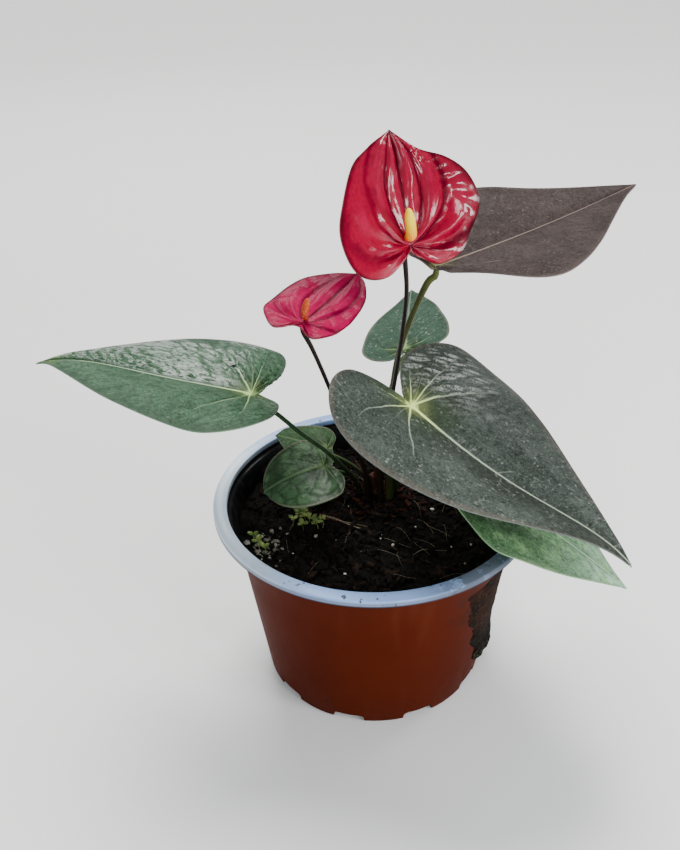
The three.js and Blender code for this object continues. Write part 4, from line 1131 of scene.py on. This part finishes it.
# pleats gives their depth and that of the puckers on the left and the right half, count how
# many pleats there are, and rungs the depth of the short bars by the right margin.
FLOWERS = {
    "large": dict(
        at=[13.0, -11.9, 207.8], heading=118.7, pitch=76.5, roll=5.9,
        length=41, bend=-20.7, fold=5.5, cup=6.4, sway=-1, veins=5, bulge=1.5, rib=0.3, wave=0.6, waves=3,
        left=[[-5, 3], [-9, 10], [-9, 17], [-6, 25], [0, 30], [10, 32.5], [19, 29], [30, 21], [36, 11]],
        right=[[-6, -5], [-9, -12], [-6, -20], [0, -24.5], [10, -29], [21, -26], [28, -19.5], [33, -9]],
        stalk=[[2.8, 9.7], [3.4, 9.2, 98], [5.6, 8.2, 120], [8.7, 6.0, 142], [11.4, 0, 168.7],
               [12.3, -6.0, 188]],
        radii=[1.6, 0.9, 1.05], spadix=[[0.8, 1.2, 0.2], [2.4, 2.4, 4.9], [12.4, 7.2, 11.6]], finger=2.1,
        pleats=(1.1, 0.35, 0.26), count=4.6, rungs=0.6),
    "small": dict(
        at=[-26.1, -21.6, 181.3], heading=59.9, pitch=5.1, roll=6.4,
        length=39, bend=6, fold=-2.4, cup=-0.4, sway=0, veins=4, bulge=0.9, rib=0.3, wave=0.5, waves=3,
        left=[[-3, 3], [-7, 8], [-4, 14], [2, 19], [10, 20], [19, 19], [28, 16], [35, 9]],
        right=[[-4, -3], [-6, -8], [-2, -12], [6, -13.5], [14, -14], [23, -12.5], [30, -9.5], [36, -5]],
        stalk=[[-2.6, 10.3], [-4.4, 9.2, 96], [-10.3, 5.0, 113], [-18.0, -7.0, 146], [-23.4, -16.6, 168]],
        radii=[1.4, 0.85, 1.0], spadix=[[0, 0, 0.2], [-0.2, 0.6, 3.0], [1.4, 0.4, 8.6]], finger=1.5,
        pleats=(0.9, 0.35, 0.45), count=3.8, rungs=0.05),
}


def spathe_relief(flower, seed):
    """Deep pleats that arch from the junction to the tip, with short puckers across them.
    They take the place of a leaf's side veins."""
    length, (deep, across_left, across_right) = flower["length"], flower["pleats"]

    def relief(s, w, out, vein):
        flat = np.stack([s, w, 0 * s], 1)
        arch = np.pi - np.arctan2(abs(w) * length, s * s + w * w - s * length)
        from_foot, from_tip = np.hypot(s, w), np.hypot(s - length, w)
        level = np.log((from_foot + 2) / (from_tip + 2))
        free = np.clip((from_foot - 2.0) / 6, 0, 1) * np.clip(from_tip / 8, 0, 1) * (1 - out ** 7)
        turn = (arch + 0.10 * rough(flat, 9, seed)) * flower["count"]
        flanks = 1 - abs(2 * np.mod(turn / np.pi, 1) - 1)
        pleat = 0.35 * abs(np.sin(turn)) ** 0.9 + 0.65 * flanks
        threads = 0.16 * abs(np.sin(turn * 3.2)) * np.clip(out * 3, 0, 1)
        pucker = abs(np.sin((level + 0.35 * rough(flat, 7, seed + 1)) * 5.5)) ** 0.7
        pucker = pucker * np.clip(out * 1.6 - 0.4, 0, 1)
        across = np.where(w > 0, across_left, across_right) * (pucker - 0.5) * np.clip(1.5 * out, 0.3, 1)
        rungs = flower["rungs"] * np.sin(16 * (level + 0.03 * rough(flat, 5, seed + 3))) ** 2
        rungs = rungs * np.clip((out - 0.74) * 10, 0, 1) * (w < 0) * np.clip(s / 6, 0, 1)
        fine = threads + rungs + 0.06 * rough(flat, 2.2, seed + 2)
        return free * (deep * (pleat - 0.5) + across + fine), (1 - pleat) * free
    return relief


def spathe_surface(name, look, flower):
    """Crimson lacquer: painted shade in the pleats, darker at the margin and to the tip, with a painted
    highlight on the crests of the pleats, glossy on top.
    """
    finish = Finish(name, Specular_IOR_Level=0.03, Coat_Roughness=0.14)
    out, rib, along, side = (finish.mark(m) for m in ("out", "rib", "along", "side"))
    length, deep, edge = flower["length"], look["deep"], look["edge"]
    flat = finish.node("ShaderNodeCombineXYZ", None, {0: along * MM, 1: side * MM})
    patch = finish.grain(110, 4, 0.6, flat)
    fine = finish.grain(700, 3, 0.6, flat)
    arch = math.pi - finish.maths("ARCTAN2", rib * length, along * along + rib * rib - along * length)
    wander = (patch - 0.5) * 1.1
    pleat = finish.maths("ABSOLUTE", finish.maths("SINE", arch * flower["count"] + wander))
    colour = finish.blend(finish.rise(patch, 0.40, 0.70) * 0.40, look["bright"], deep)
    colour = finish.blend(finish.rise(fine, 0.50, 0.70) * 0.30, colour, deep)
    # painted shade in the furrows of the pleats
    painted_furrow_shade = 1 - finish.rise(pleat, 0.05, 0.55)
    colour = finish.blend(painted_furrow_shade * (0.9 - finish.rise(side, 6, 16) * 0.4), colour, deep)
    crest = finish.rise(pleat, 0.75, 0.98) * (1 - finish.rise(out, 0.8, 0.95))
    crest = crest * finish.rise(patch, 0.42, 0.66)
    # painted highlight: the crests of the pleats are made pale pink as if they caught the light
    colour = finish.blend(crest * look["painted_crest_highlight"], colour, (0.80, 0.01, 0.11))
    colour = finish.blend(finish.rise(along, length * 0.25, length * 0.9) * look["shade"], colour, deep)
    rim = finish.rise(out + (patch - 0.5) * 0.06, 0.93, 0.995)
    colour = finish.blend(rim * 0.75, colour, edge)
    colour = finish.blend(finish.rise(along, length * 0.92, length) * 0.7, colour, edge)
    colour = finish.blend((1 - finish.rise(rib, 0.3, 0.9)) * 0.35, colour, edge)
    finish.to("Base Color", colour)
    finish.to("Roughness", 0.27 + fine * 0.10)
    dull_left = finish.rise(side, 9, 20) * look["dull"]
    dull_right = finish.rise(side * -1, 8, 14) * (1 - finish.rise(out, 0.66, 0.80)) * 0.7
    glossy = (1 - (dull_left + dull_right)) * (1 - rim * 0.5) * finish.rise(pleat, 0.05, 0.5)
    finish.to("Coat Weight", glossy * look["gloss"])
    finish.to("Normal", finish.bumped(fine * 0.35 + patch * 0.8, 0.30))
    return finish


def florets(full, turns):
    """Diamond rows of small packed florets round a tapering finger."""
    def radius(t, a):
        body = np.minimum(1, 0.5 + 1.8 * t)
        tip = np.sqrt(np.clip(1 - np.maximum(0, (t - 0.72) / 0.29) ** 2, 0.01, 1))
        one = np.cos(2 * np.pi * (a * 8 + t * turns))
        two = np.cos(2 * np.pi * (a * 8 - t * turns))
        packed = 0.055 * one * two * np.clip((t - 0.08) * 12, 0, 1)
        return full * body * tip * (1 + packed) * (1 - 0.22 * t)
    return radius


def spadix_surface(name, foot, tip):
    """Orange at the foot and paler to the tip, powdered with pollen."""
    finish = Finish(name, Specular_IOR_Level=0.4, Roughness=0.55)
    way = finish.mark("way")
    pollen = finish.grain(1500, 3)
    colour = finish.blend(finish.rise(way + (pollen - 0.5) * 0.2, 0.15, 0.75), foot, tip)
    colour = finish.blend(finish.rise(pollen, 0.55, 0.75) * 0.4, colour, (0.98, 0.72, 0.20))
    finish.to("Base Color", colour)
    finish.to("Normal", finish.bumped(pollen, 0.2))
    return finish


# the share before gloss is a painted highlight: how much the crests of the pleats are made pale. gloss is how
# thick the lacquer is, dull how little of it the left side has, and shade how much the colour deepens to the
# tip
SPATHE_LOOKS = {
    "large": dict(bright=(0.30, 0.0002, 0.025), deep=(0.075, 0.0001, 0.008), edge=(0.030, 0.001, 0.004),
                  painted_crest_highlight=0.22, gloss=0.75, dull=0.85, shade=0.1),
    "small": dict(bright=(0.36, 0.001, 0.060), deep=(0.100, 0.0004, 0.016), edge=(0.03, 0.001, 0.006),
                  painted_crest_highlight=0.06, gloss=0.04, dull=0, shade=0.75),
}
SPADIX_LOOKS = {"large": ((0.95, 0.26, 0.001), (1.0, 0.72, 0.002)),
                "small": ((0.34, 0.020, 0.0005), (0.46, 0.052, 0.001))}
SPATHE_GRID = (180, 60)
FINGER_UP = 2.2  # how much further up the spathe the finger stands
DARK_STALK = ((0.016, 0.011, 0.007), (0.010, 0.006, 0.005), (0.10, 0.015, 0.015))

for number, (name, flower) in enumerate(FLOWERS.items()):
    top = spathe_surface(f"spathe_{name}_face", SPATHE_LOOKS[name], flower)
    under = under_surface(f"spathe_{name}_back", (0.30, 0.02, 0.045), (0.16, 0.03, 0.03))
    relief = spathe_relief(flower, 60 + number * 4)
    spathe = lay_blade(f"flower_spathe_{name}", flower, SPATHE_GRID, relief, top, under)
    settle(spathe, top, f"spathe_{name}", f"spathe_{name}", angle=60)
    stem = grow_stalk(f"flower_stalk_{name}", flower, rings=80)
    stem_skin = stalk_surface(f"flower_stem_{name}", *DARK_STALK, flower, reach=5)
    settle(stem, stem_skin, f"peduncle_{name}", f"peduncle_{name}")
    along, across, normal = blade_axes(flower)
    path = [np.array(flower["at"]) + along * (s + FINGER_UP) + across * w + normal * up
            for s, w, up in flower["spadix"]]
    packed = florets(flower["finger"], turns=11)
    finger = round_bar(f"flower_spadix_{name}", path, packed, rings=110, sides=72)
    yellow = spadix_surface(f"spadix_{name}_florets", *SPADIX_LOOKS[name])
    settle(finger, yellow, f"spadix_{name}", f"spadix_{name}", angle=70)

# ---------------------------------------------------------------- the dried soil on the wall
# Spilt soil has dried onto the right of the pot: a gritty clump low down, and above it a
# thin film through which the red plastic shows.
CRUST_FOOT_Z = 4.5
CRUST_HEIGHT = 64


def crust_rule(a, b):
    """Up the wall one way and round it the other, from its left edge to its right."""
    up, way = b, a
    z = CRUST_FOOT_Z + CRUST_HEIGHT * up
    wall = 50.25 + 10.8 * z / 77
    start = -33 - 27 * up ** 2 + 13 * np.maximum(0, 1 - 4 * up) ** 1.5 + 1.6 * np.sin(23 * up + 1)
    end = 3 - 12 * up ** 2 - 2 * np.sin(11 * up) + 1.4 * np.sin(27 * up)
    narrow = np.sin(np.pi * (0.16 + 0.78 * up)) ** 0.4
    flat = np.stack([z, way * 24, 0 * z], 1)
    ragged = 1 + 0.16 * rough(flat[:, [0, 2, 2]], 3.0, 40)
    angle = np.radians((start + end) / 2 + (end - start) * (way - 0.5) * narrow * ragged)
    body = np.sin(np.pi * (0.06 + 0.86 * way ** 1.3)) ** 0.6
    low = np.clip((0.48 - up) / 0.40, 0, 1)
    clump = low * low * (3 - 2 * low)
    lumps = np.sin(29 * up + 4) * np.cos(17 * way - 5 * up) + np.sin(13 * up + 11 * way)
    thick = 0.4 + 0.2 * clump + (0.3 + 2.6 * clump) * body + (0.1 + 0.25 * clump) * lumps * body
    fade = np.clip(np.minimum(np.minimum(way, 1 - way), np.minimum(up, 1 - up)) * 9, 0, 1)
    grit = (0.3 + 0.7 * clump) * (0.65 * rough(flat, 2.4, 41) + 0.45 * rough(flat, 1.1, 42))
    r = wall + (thick * (0.35 + 0.65 * narrow) + grit) * fade ** 0.5
    return np.stack([r * np.cos(angle), r * np.sin(angle), z], 1), {}


def crust_surface():
    """Black earth, with the plastic's red through the film and pale grit low down."""
    finish = Finish("dried_soil", Specular_IOR_Level=0.06)
    lumps = finish.grain(420, 6, 0.7)
    grit = finish.cells(800)
    z = finish.axes()[2]
    patch = finish.grain(130, 4, 0.6)
    film = finish.rise(z, 26, 44)
    colour = finish.blend(finish.rise(lumps, 0.35, 0.7), (0.0014, 0.0011, 0.0008),
                          (0.008, 0.0055, 0.003))
    thin = finish.rise(patch, 0.35, 0.60) * film
    colour = finish.blend(thin * 0.75, colour, (0.024, 0.007, 0.004))
    pale = finish.rise(finish.grain(560, 4, 0.7), 0.52, 0.66) * (1 - finish.rise(z, 12, 26) * 0.7)
    colour = finish.blend(pale * 0.7, colour, (0.085, 0.082, 0.050))
    finish.to("Base Color", colour)
    finish.to("Roughness", 0.95 - lumps * 0.1)
    finish.to("Normal", finish.bumped(lumps + grit, 0.5))
    return finish


crust = shaped_grid("caked_crust", 56, 120, crust_rule)
shape_with(crust, "SOLIDIFY", thickness=0.4 * MM, offset=-1)
settle(crust, crust_surface(), "caked_soil", "caked_soil", angle=60)

# ---------------------------------------------------------------- stage, light and camera
# A white ground that fades into a white surround, lit softly from the upper left and the
# back, and the camera where the pot's rim and foot put it.
let_go()
bpy.ops.mesh.primitive_plane_add(size=6, location=(0, 0, -0.0002))
ground = fresh("ground")
ground_finish = Finish("ground_white", Base_Color=(0.9, 0.9, 0.9), Roughness=0.9)
ground.data.materials.append(ground_finish.material)

world = bpy.data.worlds.new("surround")
bpy.context.scene.world = world
world.use_nodes = True
surround = world.node_tree.nodes["Background"].inputs
give(surround["Color"], (0.93, 0.97, 1.0))
give(surround["Strength"], 0.42)


def soft_light(name, kind, place, size, power, colour=(1, 1, 1)):
    """A lamp at this place that faces the plant."""
    lamp = bpy.data.lights.new(name, kind)
    lamp.energy = power
    lamp.color = colour
    if kind == "SUN":
        lamp.angle = math.radians(size)
    else:
        lamp.shape = "DISK"
        lamp.size = size
    holder = bpy.data.objects.new(name, lamp)
    bpy.context.scene.collection.objects.link(holder)
    holder.location = place
    holder.rotation_euler = (Vector((0, 0, 0.12)) - Vector(place)).to_track_quat("-Z", "Y").to_euler()


soft_light("key", "SUN", (-0.10, 0.45, 1.0), 28, 3.6, (1.0, 0.985, 0.96))
soft_light("back_window", "AREA", (-0.32, 1.0, 0.80), 0.40, 3.2)
soft_light("front_fill", "AREA", (-0.35, -0.9, 0.8), 0.5, 3)
soft_light("spark_low", "AREA", (0.80, -0.44, 0.34), 0.30, 6)
soft_light("spark_high", "AREA", (0.50, -0.60, 0.52), 0.15, 2)
soft_light("right_window", "AREA", (0.95, 0.62, 0.95), 0.40, 4)

camera = bpy.data.cameras.new("view")
camera.lens = 40.24
camera.shift_x = -0.04
looks_down = math.radians(32)
viewer = bpy.data.objects.new("view", camera)
bpy.context.scene.collection.objects.link(viewer)
viewer.location = (0, -0.3376, 0.3346)
viewer.rotation_euler = (math.pi / 2 - looks_down, 0, 0)
bpy.context.scene.camera = viewer
